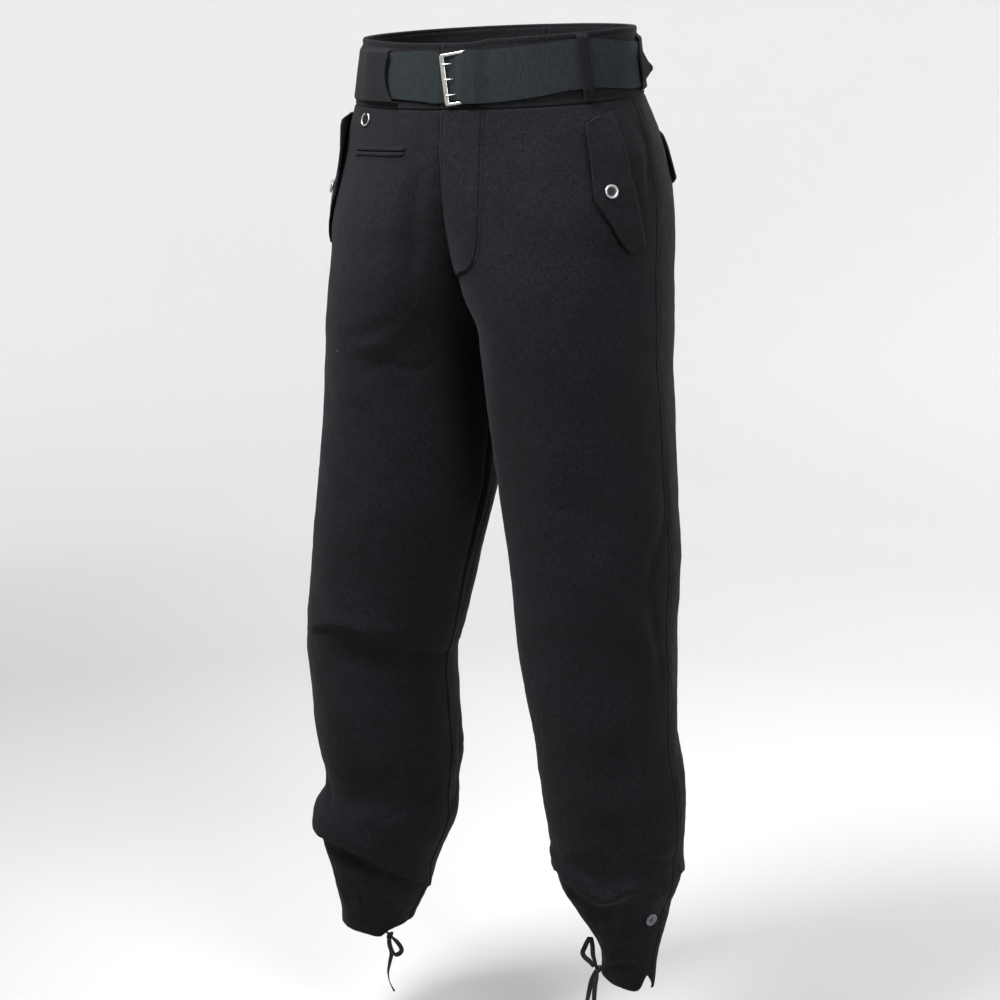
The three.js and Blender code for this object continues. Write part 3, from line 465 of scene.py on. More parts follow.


# Creases: each runs through (height, arc) places on one leg. A lip is cloth that
# hangs over what is below it. Arcs past the inseam run on round the back.
creases = {
    "left": [
        ("ridge", 24, 5.0, 0, [(-500, 110), (-572, 78), (-618, 40), (-665, 12)]),
        ("trough", 12, -2.6, 0, [(-540, 76), (-590, 40), (-630, 16)]),
        ("trough", 34, -3.0, 0, [(-470, 130), (-560, 105), (-660, 70), (-720, 50)]),
        ("trough", 7, -3.0, 0, [(-440, 6), (-481, 9), (-526, 34), (-556, 41), (-584, 34), (-655, 21), (-700, 19)]),
        ("ridge", 22, 3.0, 0, [(-735, 140), (-718, 80), (-700, 20)]),
        ("trough", 18, -2.4, 0, [(-770, 30), (-776, 90), (-768, 150)]),
        ("trough", 4.5, -2.8, 0, [(-868, 66), (-874, 47), (-876, 31), (-881, 7), (-897, -26)]),
        ("ridge", 9, 2.8, 0, [(-856, 62), (-862, 30), (-870, -10)]),
        ("lip", 17, 11.5, 8.5, [(-884, 186), (-893, 163), (-893, 140), (-901, 116), (-909, 100), (-908, 87), (-900, 74), (-899, 62), (-905, 49), (-912, 36)]),
        ("trough", 13, -7.0, 0, [(-903, 176), (-914, 150), (-922, 120), (-930, 98), (-924, 76), (-926, 54)]),
        ("trough", 8, -2.2, 0, [(-940, 96), (-946, 120), (-942, 146)]),
        ("trough", 6, -1.8, 0, [(-904, 168), (-893, 190), (-884, 216)]),
        ("trough", 6, -3.2, 0, [(-918, 72), (-935, 66), (-952, 61), (-968, 62)]),
        ("ridge", 7, 1.8, 0, [(-936, 78), (-958, 80), (-982, 74)]),
        ("trough", 6, -3.0, 0, [(-922, 113), (-944, 100), (-964, 86)]),
        ("ridge", 5, 4.2, 0, [(-1019, 72), (-1005, 57), (-1000, 43), (-1007, 28)]),
        ("trough", 5, -4.4, 0, [(-1024, 66), (-1013, 52), (-1010, 40), (-1015, 30)]),
        ("ridge", 18, 5.0, 0, [(-850, -60), (-895, -170)]),
        ("lip", 15, 8, 7.5, [(-905, 190), (-900, 215), (-888, 250)]),
        ("lip", 16, 8.7, 8.2, [(-880, -175), (-905, -120), (-912, -70), (-902, -20)]),
        ("trough", 9, -2.6, 0, [(-915, -160), (-930, -110), (-925, -60)]),
        ("trough", 12, -4.0, 0, [(-628, -70), (-640, -120), (-632, -190), (-618, -235)]),
        ("ridge", 14, 3.0, 0, [(-602, -80), (-612, -140), (-606, -210)]),
        ("trough", 10, -3.2, 0, [(-668, -95), (-682, -150), (-672, -215)]),
        ("ridge", 12, 2.4, 0, [(-655, -60), (-660, -140), (-650, -220)]),
        ("trough", 14, -3.0, 0, [(-330, -70), (-345, -140), (-338, -230), (-320, -290)]),
        ("trough", 12, -2.6, 0, [(-300, -300), (-285, -220), (-280, -140)]),
        ("ridge", 16, 2.6, 0, [(-312, -300), (-306, -220), (-318, -120)]),
        ("trough", 16, -2.4, 0, [(-400, -120), (-470, -150), (-560, -160)]),
        ("trough", 10, -2.0, 0, [(-770, -60), (-800, -110), (-815, -170)]),
        ("trough", 12, -1.8, 0, [(-300, 262), (-322, 232), (-345, 196)]),
        ("trough", 20, -2.6, 0, [(-330, 300), (-420, 282), (-500, 268)]),
        ("ridge", 26, 2.4, 0, [(-250, 205), (-330, 238), (-430, 232), (-520, 215)]),
        ("trough", 24, -1.6, 0, [(-110, 130), (-170, 140), (-250, 150)]),
        ("trough", 5, -2.4, 0, [(-52, 16), (-79, 9), (-110, 14), (-140, 20)]),
        ("ridge", 7, 1.8, 0, [(-60, 29), (-90, 26), (-135, 30)]),
        ("trough", 4, -2.0, 0, [(-58, -46), (-76, -53), (-99, -60)]),
        ("trough", 2.5, -1.0, 0, [(-50, 44), (-118, 41.5), (-165, 35), (-190, 29)]),
    ],
    "right": [
        ("ridge", 15, 4.4, 0, [(-634, 50), (-628, 120), (-634, 200), (-644, 290)]),
        ("lip", 12, 3.8, 2.8, [(-652, 60), (-650, 80), (-634, 120), (-628, 156), (-640, 189), (-654, 222), (-659, 245), (-664, 274), (-667, 300), (-664, 328)]),
        ("trough", 15, -3.4, 0, [(-676, 80), (-668, 160), (-674, 260)]),
        ("trough", 6, -1.8, 0, [(-655, 225), (-672, 248), (-700, 262)]),
        ("ridge", 26, 2.6, 0, [(-560, 110), (-600, 140), (-618, 190)]),
        ("lip", 18, 12.5, 10.5, [(-886, 50), (-892, 92), (-891, 130), (-901, 154), (-917, 164), (-934, 172), (-952, 180), (-970, 192)]),
        ("trough", 14, -7.0, 0, [(-912, 60), (-918, 96), (-922, 130), (-934, 148), (-950, 160)]),
        ("trough", 10, -3.0, 0, [(-915, 70), (-922, 110), (-940, 140), (-964, 160)]),
        ("trough", 7, -4.0, 0, [(-800, 50), (-842, 66), (-860, 88), (-872, 109)]),
        ("ridge", 14, 4.0, 0, [(-850, 10), (-872, 14), (-893, 22)]),
        ("trough", 7, -3.6, 0, [(-878, 166), (-868, 184), (-855, 206), (-836, 236)]),
        ("ridge", 12, 2.4, 0, [(-868, 185), (-852, 220), (-836, 250)]),
        ("trough", 9, -2.2, 0, [(-884, 176), (-868, 214), (-850, 244)]),
        ("trough", 7, -3.0, 0, [(-770, 304), (-805, 296), (-842, 288), (-870, 280)]),
        ("ridge", 12, 4.0, 0, [(-800, 320), (-840, 312), (-872, 300)]),
        ("trough", 4.5, -2.6, 0, [(-988, 66), (-981, 86), (-971, 104)]),
        ("trough", 3.2, -2.2, 0, [(-968, 107), (-990, 97), (-1012, 86)]),
        ("ridge", 7, 1.8, 0, [(-955, 60), (-985, 66), (-1015, 62)]),
        ("trough", 9, -3.0, 0, [(-950, 140), (-978, 132), (-1008, 126)]),
        ("trough", 5, -1.8, 0, [(-1010, 66), (-1014, 88), (-1022, 104)]),
        ("ridge", 6, 1.6, 0, [(-1018, 96), (-1026, 108), (-1032, 116)]),
        ("ridge", 18, 6.0, 0, [(-860, -50), (-905, -190)]),
        ("lip", 16, 8.7, 8.2, [(-905, -190), (-915, -140), (-912, -90), (-896, -40), (-890, 0)]),
        ("trough", 10, -3.0, 0, [(-930, -150), (-938, -100), (-926, -50)]),
        ("trough", 12, -4.0, 0, [(-640, -60), (-650, -120), (-640, -200), (-628, -240)]),
        ("ridge", 14, 3.0, 0, [(-615, -70), (-622, -140), (-612, -220)]),
        ("trough", 10, -3.0, 0, [(-690, -80), (-700, -140), (-688, -210)]),
        ("trough", 14, -3.0, 0, [(-328, -60), (-344, -150), (-332, -240), (-316, -300)]),
        ("trough", 12, -2.6, 0, [(-298, -300), (-284, -210), (-282, -130)]),
        ("ridge", 16, 2.6, 0, [(-312, -300), (-306, -220), (-318, -120)]),
        ("trough", 16, -2.4, 0, [(-400, -110), (-480, -150), (-560, -150)]),
        ("trough", 5, -2.4, 0, [(-410, 338), (-470, 334), (-540, 318), (-600, 304)]),
        ("trough", 5, -2.4, 0, [(-440, 352), (-500, 346), (-560, 330), (-620, 316)]),
        ("ridge", 5, 1.6, 0, [(-430, 345), (-490, 340), (-560, 323)]),
        ("trough", 5, -2.6, 0, [(-334, 172), (-328, 192), (-319, 214), (-328, 222), (-327, 246), (-318, 262)]),
        ("ridge", 9, 1.5, 0, [(-312, 150), (-304, 180), (-308, 220)]),
        ("trough", 7, -1.0, 0, [(-205, 80), (-212, 110), (-208, 140)]),
        ("trough", 10, -3.4, 0, [(-84, 222), (-111, 229), (-150, 236), (-187, 241), (-222, 236)]),
        ("ridge", 11, 2.8, 0, [(-48, 214), (-78, 240), (-112, 250), (-160, 256)]),
        ("ridge", 14, 2.2, 0, [(-90, 196), (-140, 212), (-200, 214)]),
        ("trough", 40, -6.0, 0, [(-270, 290), (-340, 300), (-420, 302), (-500, 290)]),
        ("trough", 7, -1.8, 0, [(-262, 232), (-280, 208), (-292, 176)]),
        ("ridge", 8, 1.6, 0, [(-276, 240), (-296, 206), (-306, 170)]),
        ("trough", 6, -1.5, 0, [(-292, 262), (-306, 236), (-312, 204)]),
        ("trough", 9, -1.6, 0, [(-350, 90), (-372, 130), (-380, 176)]),
        ("ridge", 12, 1.6, 0, [(-420, 80), (-450, 130), (-462, 190)]),
        ("trough", 2.5, -1.0, 0, [(-50, 44), (-118, 41.5), (-165, 35), (-190, 29)]),
    ],
}
creaseEnd = 0.07  # share of a crease over which it starts and ends


def creaseMoves(side, z, arc):
    outward, downward = np.zeros(z.shape), np.zeros(z.shape)
    whole = totalArc(side, -1, z) + totalArc(side, 1, z)
    belowFork = ease((build["fork"] - z) / 20)
    for kind, width, height, lean, places in creases[side]:
        line = smoothLine(places, 6 * len(places) - 5)
        runs = np.diff(line, axis=0)
        spans = np.linalg.norm(runs, axis=1)
        starts = np.concatenate([[0], np.cumsum(spans)])
        reach = 3.2 * width
        for turn in (0, -1, 1):
            placed = arc + turn * whole
            near = ((z > line[:, 0].min() - reach) & (z < line[:, 0].max() + reach)
                    & (placed > line[:, 1].min() - reach) & (placed < line[:, 1].max() + reach))
            if not near.any():
                continue
            zs, arcs = z[near], placed[near]
            best, share, above = np.full(zs.shape, 1e9), np.zeros(zs.shape), np.zeros(zs.shape)
            for k, run in enumerate(runs):
                dz, da = zs - line[k, 0], arcs - line[k, 1]
                t = np.clip((dz * run[0] + da * run[1]) / spans[k] ** 2, 0, 1)
                ez, ea = dz - t * run[0], da - t * run[1]
                distance = np.hypot(ez, ea)
                closer = distance < best
                best = np.where(closer, distance, best)
                share = np.where(closer, (starts[k] + t * spans[k]) / starts[-1], share)
                above = np.where(closer, run[1] * ez - run[0] * ea, above)
            taper = np.sin(math.pi * np.clip(share, creaseEnd, 1 - creaseEnd)) ** 0.6
            taper = taper * (0.88 + 0.12 * np.sin(9 * share + width)) * (1 if turn == 0 else belowFork[near])
            if kind == "lip":
                over = above > 0
                outward[near] += height * taper * np.where(over, bump(best, width), bump(best, 0.34 * width))
                downward[near] += lean * taper * np.where(over, bump(best, 0.65 * width), bump(best, 0.3 * width))
            else:
                outward[near] += height * taper * bump(best, width)
    return outward, downward


# The small unevenness of hanging cloth, the same on both sides of a seam.
def unevenness(at, size, depth):
    return np.array([noise.noise(p / size) + 0.5 * noise.noise(p / (0.42 * size)) + 0.3 * noise.noise(p / (0.16 * size))
                     for p in map(Vector, at.reshape(-1, 3))]).reshape(at.shape[:-1]) * depth


# Points on the cloth itself, creases included.
def onCloth(side, z, arc, facing=None, fine=True):
    z, arc = (np.array(a, float) for a in np.broadcast_arrays(z, arc))
    at, out = onForm(side, z, arc, facing)
    outward, downward = creaseMoves(side, z, arc)
    face = np.where(arc < 0, 1, -1) if facing is None else facing
    inner = np.where(face < 0, totalArc(side, -1, z), totalArc(side, 1, z)) - abs(arc)
    legs = ease((build["fork"] - z) / 25)
    fade = legs + (1 - legs) * ease(inner / 25)
    fade = fade * ease((build["waistSeam"] - z) / 22)
    if fine:
        outward = outward + unevenness(at, 62, 1.3 + 0.8 * ease((-600 - z) / 200))
    at = at + out * (outward * fade)[..., None]
    at[..., 2] -= downward * fade
    return at, out


# One place for a hard piece: a matrix whose Z axis points square out of the cloth, and Y up it.
def seatOn(side, z, arc, lift, onWaistband=False):
    read = onForm if onWaistband else onCloth
    at, out = (np.array(a[0]) for a in read(side, np.array([z]), np.array([arc])))
    rise = read(side, np.array([z + 6.0]), np.array([arc]))[0][0] - read(side, np.array([z - 6.0]), np.array([arc]))[0][0]
    rise /= np.linalg.norm(rise)
    out = out - rise * out.dot(rise)
    out /= np.linalg.norm(out)
    across = np.cross((0, 0, 1), out)
    across /= np.linalg.norm(across)
    seat = Matrix.Identity(4)
    for i, axis in enumerate((across, np.cross(out, across), out, at + out * lift)):
        for j in range(3):
            seat[j][i] = axis[j]
    return seat


# Places on the waist by arc from the centre front, + to the wearer's left.
def onWaist(arc, z):
    arc, z = (np.array(a, float) for a in np.broadcast_arrays(arc, z))
    sides = [onForm(side, z, totalArc(side, -1, z) - abs(arc)) for side in ("left", "right")]
    right = (arc < 0)[..., None]
    return tuple(np.where(right, b, a) for a, b in zip(*sides))


# A sheet of cloth: a grid whose points are placed by a function of its columns and rows. The
# function gives points, the directions out of them and their places on the flat cloth, in mm.
def makeSheet(name, columns, rows, place, material, wall, outward=False, rounded=0):
    bm = bmesh.new()
    bmesh.ops.create_grid(bm, x_segments=len(columns) - 1, y_segments=len(rows) - 1, size=1)
    mesh = meshOf(bm, name)
    share = (pointsOf(mesh)[:, :2] + 1) / 2
    across = np.interp(share[:, 0], np.linspace(0, 1, len(columns)), columns)
    down = np.interp(share[:, 1], np.linspace(0, 1, len(rows)), rows)
    at, out, flat = place(across, down)
    movePoints(mesh, at * mm)
    corners = np.empty(len(mesh.loops), np.int32)
    mesh.loops.foreach_get("vertex_index", corners)
    layer = mesh.uv_layers.new(name="cloth")
    layer.data.foreach_set("uv", (np.column_stack(flat) * mm)[corners].astype(np.float32).ravel())
    normals = np.empty(3 * len(mesh.vertices), np.float32)
    mesh.vertices.foreach_get("normal", normals)
    if (normals.reshape(-1, 3) * out).sum() < 0:
        mesh.flip_normals()
    piece = addPiece(name, mesh, material)
    thick = piece.modifiers.new("wall", "SOLIDIFY")
    thick.thickness = wall * mm
    thick.offset = 1 if outward else -1
    if rounded:
        edge = piece.modifiers.new("edge", "BEVEL")
        edge.width = rounded * mm
        edge.segments = 3
        edge.limit_method = "ANGLE"
        edge.angle_limit = math.radians(50)
    return piece


def spaced(*stretches):
    parts = [np.linspace(a, b, n, endpoint=False) for a, b, n in stretches]
    return np.concatenate(parts + [[stretches[-1][1]]])


# Leg panels: a front and a back for each leg, meeting at the side seam, inseam and fork.
panel = {
    "sideEdge": [0.15, 0.7, 1.5, 2.7, 4.2, 5.6, 6.6, 7.4, 8.1, 9.2, 11.5, 15, 19],
    "innerEdge": [19, 14, 10, 7.5, 5.6, 4.2, 3, 2, 1.2, 0.6, 0.15],
    "middle": 68, "fell": 0.9, "fellWidth": 6.6, "stitchGroove": 0.55,
    "rows": [(-33.1, -40, 5), (-40, -860, 205), (-860, -1030, 86), (-1030, -1034, 4)],
}
hemRows = {
    "left": [(-105, 0), (-60, 1), (-11, 3), (0, 12), (11, -7), (23, 9), (45, 6), (80, 0), (110, -1)],
    "right": [(-150, -6), (-118, -2), (-70, 2), (0, 3), (50, 2), (80, 4), (100, 7), (112, 0), (135, -3), (150, -6)],
}


def panelReach(column, total):
    near, far = panel["sideEdge"], panel["innerEdge"]
    first, last = len(near) - 1, len(near) + panel["middle"]
    bySide = np.interp(column, range(len(near)), near)
    byInner = total - np.interp(column, range(last, last + len(far)), far)
    middle = near[-1] + (total - far[0] - near[-1]) * (column - first) / (last - first)
    return np.where(column <= first, bySide, np.where(column >= last, byInner, middle))


# How the seams shape the cloth beside them: felled at the side, plain and open at the inseam.
def seamShape(facing, z, reach, total):
    inner = total - reach
    tuck = np.where(z > build["fork"], 0.5, 1.1)
    pucker = 0.28 * np.sin(z / 2.9 + 1.3 * np.sin(z / 17)) + 0.2 * np.sin(z / 6.1 + 1)
    shape = -1.1 * bump(reach, 0.9) + pucker * bump(reach, 9) - tuck * bump(inner, 1.0) + 0.6 * pucker * bump(inner, 8)
    if facing < 0:
        shape = shape + panel["fell"] * (ease(reach / 1.6) - ease((reach - panel["fellWidth"]) / 1.1))
        shape = shape - panel["stitchGroove"] * bump(reach - 7.9, 0.7)
        shape = shape - 0.3 * bump(reach - 5.9, 0.5)
    else:
        shape = shape + 0.7 * (ease(inner / 1.6) - ease((inner - 6) / 1.4)) - 0.35 * bump(inner - 7.4, 0.7)
    return shape


def makePanel(side, facing):
    name = ("front" if facing < 0 else "back") + "_leg_" + side
    rows = spaced(*panel["rows"])
    columns = np.arange(len(panel["sideEdge"]) + panel["middle"] + len(panel["innerEdge"]))

    def place(column, z):
        total = totalArc(side, facing, z)
        reach = panelReach(column, total)
        arc = -facing * reach
        at, out = onCloth(side, z, arc, facing)
        shape = seamShape(facing, z, reach, total)
        shape = shape - 1.7 * ease((z + 37.5) / 3.5)  # tucked in under the waistband
        shape = shape - 0.45 * bump(z + 1019, 1.0)  # hem stitches
        shape = shape - 1.7 * ease((-1031.5 - z) / 2.5) ** 2  # the hem's edge turned in
        at = at + out * shape[:, None]
        seam = ease((z - build["fork"]) / 5) * bump(total - reach, 0.7)
        at[:, 0] *= 1 - seam  # the left and right panels meet at the centre
        drop = readRows(hemRows[side], arc)[:, 0]
        at[:, 2] -= drop * ease((-1000 - z) / (-1000 - build["hem"]))
        return at, out, (arc, z)

    piece = makeSheet(name + "_cloth", columns, rows, place, brushedWool, build["wall"])
    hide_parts(name)
    return piece


panels = {(side, facing): makePanel(side, facing) for side in ("left", "right") for facing in (-1, 1)}
print("leg panels made")

# Waistband: two halves joined at the back, with a turned top edge that isn't quite level.
band = {"rise": [(-460, 36), (-250, 36.6), (-129, 37), (-40, 34.6), (0, 34), (34, 34), (50, 36.4), (71, 37),
                 (193, 38.6), (240, 37.6), (300, 36.4), (460, 36)],
        "topStitch": 6.5, "footStitch": 3.0, "columns": 118}
bandLevels = [-34, -33.4, -32.4, -31.4, -30, -27, -23, -19, -15, -10, -5, 0, 5, 10, 15, 19, 22, 24.5, 26.5, 28,
              29.1, 30.2, 31.4, 32.8, 34.2, 35.4, 36]


def bandShape(arc, level):
    top = 36 - level
    shape = -0.5 * bump(top - band["topStitch"], 0.9) - 0.45 * bump(level + 31, 0.8)
    shape = shape + 0.35 * bump(top - 2.5, 2.2) - 0.9 * ease(1 - top / 1.4) ** 2 - 0.7 * ease(1 - (level + 34) / 1.2) ** 2
    return shape + 0.35 * np.sin(arc / 13 + 0.8) * bump(top - 4, 9) + 0.5 * np.sin(arc / 41 + 2) * bump(level, 26)


def makeBand(side):
    mirror = 1 if side == "left" else -1

    def place(share, level):
        z = build["waistSeam"] + (level + 34) / 70 * (build["waistTop"] - build["waistSeam"])
        ahead, behind = totalArc(side, -1, z) - 0.15, totalArc(side, 1, z) - 0.15
        arc = ahead - share * (ahead + behind)
        fromFront = mirror * (ahead - arc)
        rise = readRows(band["rise"], fromFront)[:, 0] - build["waistTop"]
        z = z + rise * ease((level - 8) / 24)
        at, out = onForm(side, z, arc)
        at = at + out * bandShape(fromFront, level)[:, None]
        at[:, 0] *= 1 - bump(np.minimum(share, 1 - share) * (ahead + behind), 0.6)
        return at, out, (arc, z)

    piece = makeSheet("waistband_" + side + "_cloth", np.linspace(0, 1, band["columns"]), bandLevels, place,
                      pressedWool, build["band"])
    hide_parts("waistband_" + side)
    return piece


bands = {side: makeBand(side) for side in ("left", "right")}

# Fly: the left front's edge, doubled out to a curved line of stitches where it sinks into the panel.
fly = {"rows": [(-35, 0.6, 48), (-80, 0.6, 50), (-140, 0.6, 54), (-185, 0.6, 58), (-200, 0.8, 57), (-210, 1.5, 53),
                (-217, 3, 42), (-221, 6, 30)],
       "proud": 2.1, "wall": 1.3, "beyond": 6, "foot": -224.5}


def flyPlace(column, z):
    edge, width = readRows(fly["rows"], np.maximum(z, -221)).T
    width = width * np.sqrt(np.clip((z - fly["foot"]) / 9, 0.02, 1)) + 0 * z
    inner = edge + column * np.maximum(width + fly["beyond"] - edge, 4)
    total = totalArc("left", -1, z)
    at, out = onCloth("left", z, total - inner, -1)
    inside = np.minimum(width - inner, (z - fly["foot"] + 1.5) * 1.0)
    lift = fly["proud"] * ease((inside + 5.5) / 8.5) - 1.2 * bump(inside, 1.2) - 0.9 * ease((-inside - 2) / 3.5)
    lift = lift - 0.5 * bump(inner - 5.5, 0.8) - 0.8 * ease(1 - (inner - edge) / 1.3) ** 2
    lift = lift + 0.25 * np.sin(z / 7.3) * bump(inner, 14) - 1.2 * ease((z + 38) / 4)
    return at + out * lift[:, None], out, (total - inner, z)


flyPiece = makeSheet("fly_placket_cloth", np.concatenate([np.linspace(0, 0.1, 9), np.linspace(0.115, 0.8, 16),
                                                          np.linspace(0.82, 1, 20)]),
                     spaced((-34.6, -180, 60), (-180, -229, 40)), flyPlace, brushedWool, fly["wall"])
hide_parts("fly_placket")
print("waistband and fly made")

# Belt: one webbing strap. Columns: arc from the centre front, lift, middle height, half width.
belt = {"rows": [(256, 1, -2, 23), (240, 1, -2, 23), (228, 1, -1.5, 24), (215, 1, -1, 24), (202, 1, 1, 24),
                 (188, 1, 3, 24.5), (173, 1, 5, 24.5), (157, 1, 5.5, 25), (140, 1, 5.5, 25.5), (122, 1, 4, 26),
                 (105, 0.9, 2, 26.5), (90, 0.9, 1, 27), (75, 1, 0, 27), (63, 1, -0.8, 27), (54.5, 0.9, -1.5, 27),
                 (45.5, 3.6, -1.5, 27), (41.5, 5.2, -1.5, 27), (28.5, 5.5, -1.5, 27), (25.5, 4.9, -1.8, 23),
                 (18.5, 1.6, -2.6, 22.2), (11.5, 0.5, -3.6, 22.2), (2, 0.6, -2.5, 25), (-9, 0.6, -1, 27),
                 (-22, 0.7, 0, 26), (-36, 0.8, 0.5, 25.5), (-62, 0.8, 0.5, 24.5), (-108, 0.8, 0.5, 23.5)],
        "wall": 1.8}
beltTable = np.array(belt["rows"])[::-1]


def beltPlace(arc, share):
    lift, rise, half = (np.interp(arc, beltTable[:, 0], beltTable[:, k]) for k in (1, 2, 3))
    z = rise + share * half
    at, out = onWaist(arc, z)
    edge = abs(share)
    lift = lift + 0.25 * np.sin(arc / 23) * (1 - edge) - 0.15 * ease((edge - 0.9) / 0.1)
    return at + out * np.maximum(lift, 0.3)[:, None], out, (arc, share * 26)


beltPiece = makeSheet("belt_strap", spaced((-108, 0, 40), (0, 60, 48), (60, 256, 64)),
                      np.concatenate([[-1, -0.985, -0.95, -0.9], np.linspace(-0.8, 0.8, 9), [0.9, 0.95, 0.985, 1]]),
                      beltPlace, webbing, belt["wall"], outward=True, rounded=0.5)
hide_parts("belt")

# Belt tunnel: the cloth cover from the slit at the right front, round the back, to the left side.
tunnel = {"slitArc": 68, "mouthArc": 240, "insideRight": 44, "insideLeft": 26, "step": 24, "proud": 2.7,
          "room": 2.3, "wall": 1.6}


def slitBow(z):
    return 4.2 - 8.4 * ((z - 3) / 25) ** 2 + 5 * ease((z - 22) / 3)


def tunnelPlace(share, z):
    rightFront, leftFront = totalArc("right", -1, z), totalArc("left", -1, z)
    rightRound = rightFront + totalArc("right", 1, z)
    leftRound = leftFront + totalArc("left", 1, z)
    whole = rightRound - tunnel["slitArc"] + leftRound - tunnel["mouthArc"]
    gone = share * whole
    start = -slitBow(z) * ease(1 - gone / 30)
    onRight = gone <= rightRound - tunnel["slitArc"]
    right = onForm("right", z, rightFront - (tunnel["slitArc"] + gone - start))
    left = onForm("left", z, leftFront - (tunnel["mouthArc"] + whole - gone))
    at, out = (np.where(onRight[:, None], a, b) for a, b in zip(right, left))
    over = np.maximum(1 - ease((gone - tunnel["insideRight"]) / tunnel["step"]),
                      1 - ease((whole - gone - tunnel["insideLeft"]) / tunnel["step"]))
    away = np.where(z > 0, (z - 23.5) / 6.5, (-26.5 - z) / 4.5)
    lift = (tunnel["proud"] + tunnel["room"] * over) * (1 - ease(away)) - 0.35 * ease(away)
    lift = lift - 0.5 * bump(gone - 3.2, 0.8) - 0.45 * bump(gone - 7.4, 0.8) - 0.5 * bump(whole - gone - 4, 0.8)
    lift = lift - 0.8 * ease(1 - gone / 1.3) ** 2 + 0.4 * np.sin(gone / 19) * (1 - ease(away))
    lift = lift + 2.6 * ease(1 - gone / 15) * (1 - ease(away))  # the mouth curls off the strap
    lift = lift - 3.2 * ease(1 - gone / 6) * ease(away)  # the slit's ends close on the band
    return at + out * lift[:, None], out, (gone, z)


tunnelColumns = np.concatenate([np.array([0, 0.6, 1.3, 2.2, 3.2, 4.2, 5.5, 6.5, 7.4, 8.4, 10, 13, 17, 22]) / 640,
                                np.linspace(28, 618, 148) / 640,
                                np.array([624, 630, 634, 636, 638, 639.2, 640]) / 640])
tunnelPiece = makeSheet("belt_tunnel_cloth", tunnelColumns, spaced((-32.5, -24, 12), (-24, 23, 20), (23, 33, 14)),
                        tunnelPlace, pressedWool, tunnel["wall"])
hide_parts("belt_tunnel")

# Belt loop: a folded strip sewn down above and below the strap.
loop = {"rows": [(35, 150, 0.4), (33.5, 150.5, 2.2), (32, 151, 3.4), (10, 153.5, 3.6), (-15, 158.5, 3.6),
                 (-22, 160, 3.3), (-26, 161, 1.6), (-33, 162, 0.4)], "width": 12, "wall": 2.0}


def loopPlace(share, z):
    arc, lift = readRows(loop["rows"], z).T
    lift = lift + 0.25 * bump(abs(share) - 0.45, 0.25) - 0.3 * bump(abs(share) - 0.72, 0.1)
    at, out = onWaist(arc + share * loop["width"] / 2, z)
    return at + out * lift[:, None], out, (share * 6, z)


loopPiece = makeSheet("belt_loop_left_cloth", np.concatenate([np.linspace(-1, -0.6, 6), np.linspace(-0.4, 0.4, 5),
                                                              np.linspace(0.6, 1, 6)]),
                      spaced((35, 30, 10), (30, -20, 16), (-20, -33, 16)), loopPlace, pressedWool,
                      loop["wall"], outward=True, rounded=0.6)
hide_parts("belt_loop_left")

# Pointed tab at the left side, sewn down at the tunnel's mouth and standing off behind it.
tab = {"rows": [(0, -20, 15, 5.3), (5, -19.5, 14.5, 5.5), (11, -17, 8, 6.3), (18, -13.5, 0, 8), (26, -9, -6, 11)],
       "root": 10, "wall": 2.2}
tabTable = np.array(tab["rows"])


def tabPlace(share, reach):
    low, high, lift = (np.interp(reach, tabTable[:, 0], tabTable[:, k]) for k in (1, 2, 3))
    z = low + share * (high - low)
    at, out = onForm("left", z, -tab["root"] - reach)
    lift = lift + 0.5 * np.sin(math.pi * share) - 0.35 * bump(reach - 3, 0.8)
    return at + out * lift[:, None], out, (reach, z)


tabPiece = makeSheet("side_tab_left_cloth", np.linspace(0, 1, 15), spaced((0, 6, 10), (6, 26, 18)), tabPlace,
                     pressedWool, tab["wall"], outward=True, rounded=0.6)
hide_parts("side_tab_left")
print("belt, tunnel, loop and tab made")

# Slant pocket flaps: sewn along the slash near the side seam, free towards the front.
# Columns: place along the slash, height and arc of the root, height and arc of the free edge, rises.
flap = {"rows": [(0, -45, 46, -50, 72, 8, 11), (1, -51, 45.6, -56, 82, 9, 11.5), (2, -62, 45, -66, 85, 8.5, 10),
                 (3, -90, 44, -92, 88, 7, 6), (4, -118, 43, -118, 91, 6, 3), (5, -140, 41, -140, 93, 5, 1.5),
                 (6, -160, 37, -161, 81, 4.5, 1), (7, -178, 33, -185, 66, 3.5, 0.8), (8, -187, 31, -196, 54, 2.5, 0.8)],
        "wall": 2.2, "bend": 1.4, "rest": 0.8}
flapTable = np.array(flap["rows"])


def flapLift(side, row, share):
    rise = np.interp(row, flapTable[:, 0], flapTable[:, 5 if side == "left" else 6])
    crown = 0.7 * np.sin(math.pi * np.clip(row / 8, 0, 1)) * np.sin(math.pi * share) ** 0.8
    return flap["rest"] + rise * share ** flap["bend"] + crown


def makeFlap(side):
    def place(share, row):
        rootZ, rootArc, freeZ, freeArc = (np.interp(row, flapTable[:, 0], flapTable[:, k]) for k in (1, 2, 3, 4))
        z, arc = rootZ + share * (freeZ - rootZ), rootArc + share * (freeArc - rootArc)
        at, out = onCloth(side, z, arc, -1)
        lift = flapLift(side, row, share) - 0.9 * ease(1 - share / 0.07)
        return at + out * lift[:, None], out, (arc, z)

    piece = makeSheet("pocket_flap_" + side + "_cloth",
                      np.concatenate([[0, 0.02, 0.05, 0.09], np.linspace(0.14, 0.9, 18), [0.94, 0.97, 1]]),
                      np.concatenate([[0, 0.3, 0.65], np.linspace(1, 7, 37), [7.4, 7.8, 8]]), place, brushedWool,
                      flap["wall"], outward=True, rounded=0.7)
    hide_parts("pocket_flap_" + side)
    return piece


flaps = {side: makeFlap(side) for side in ("left", "right")}

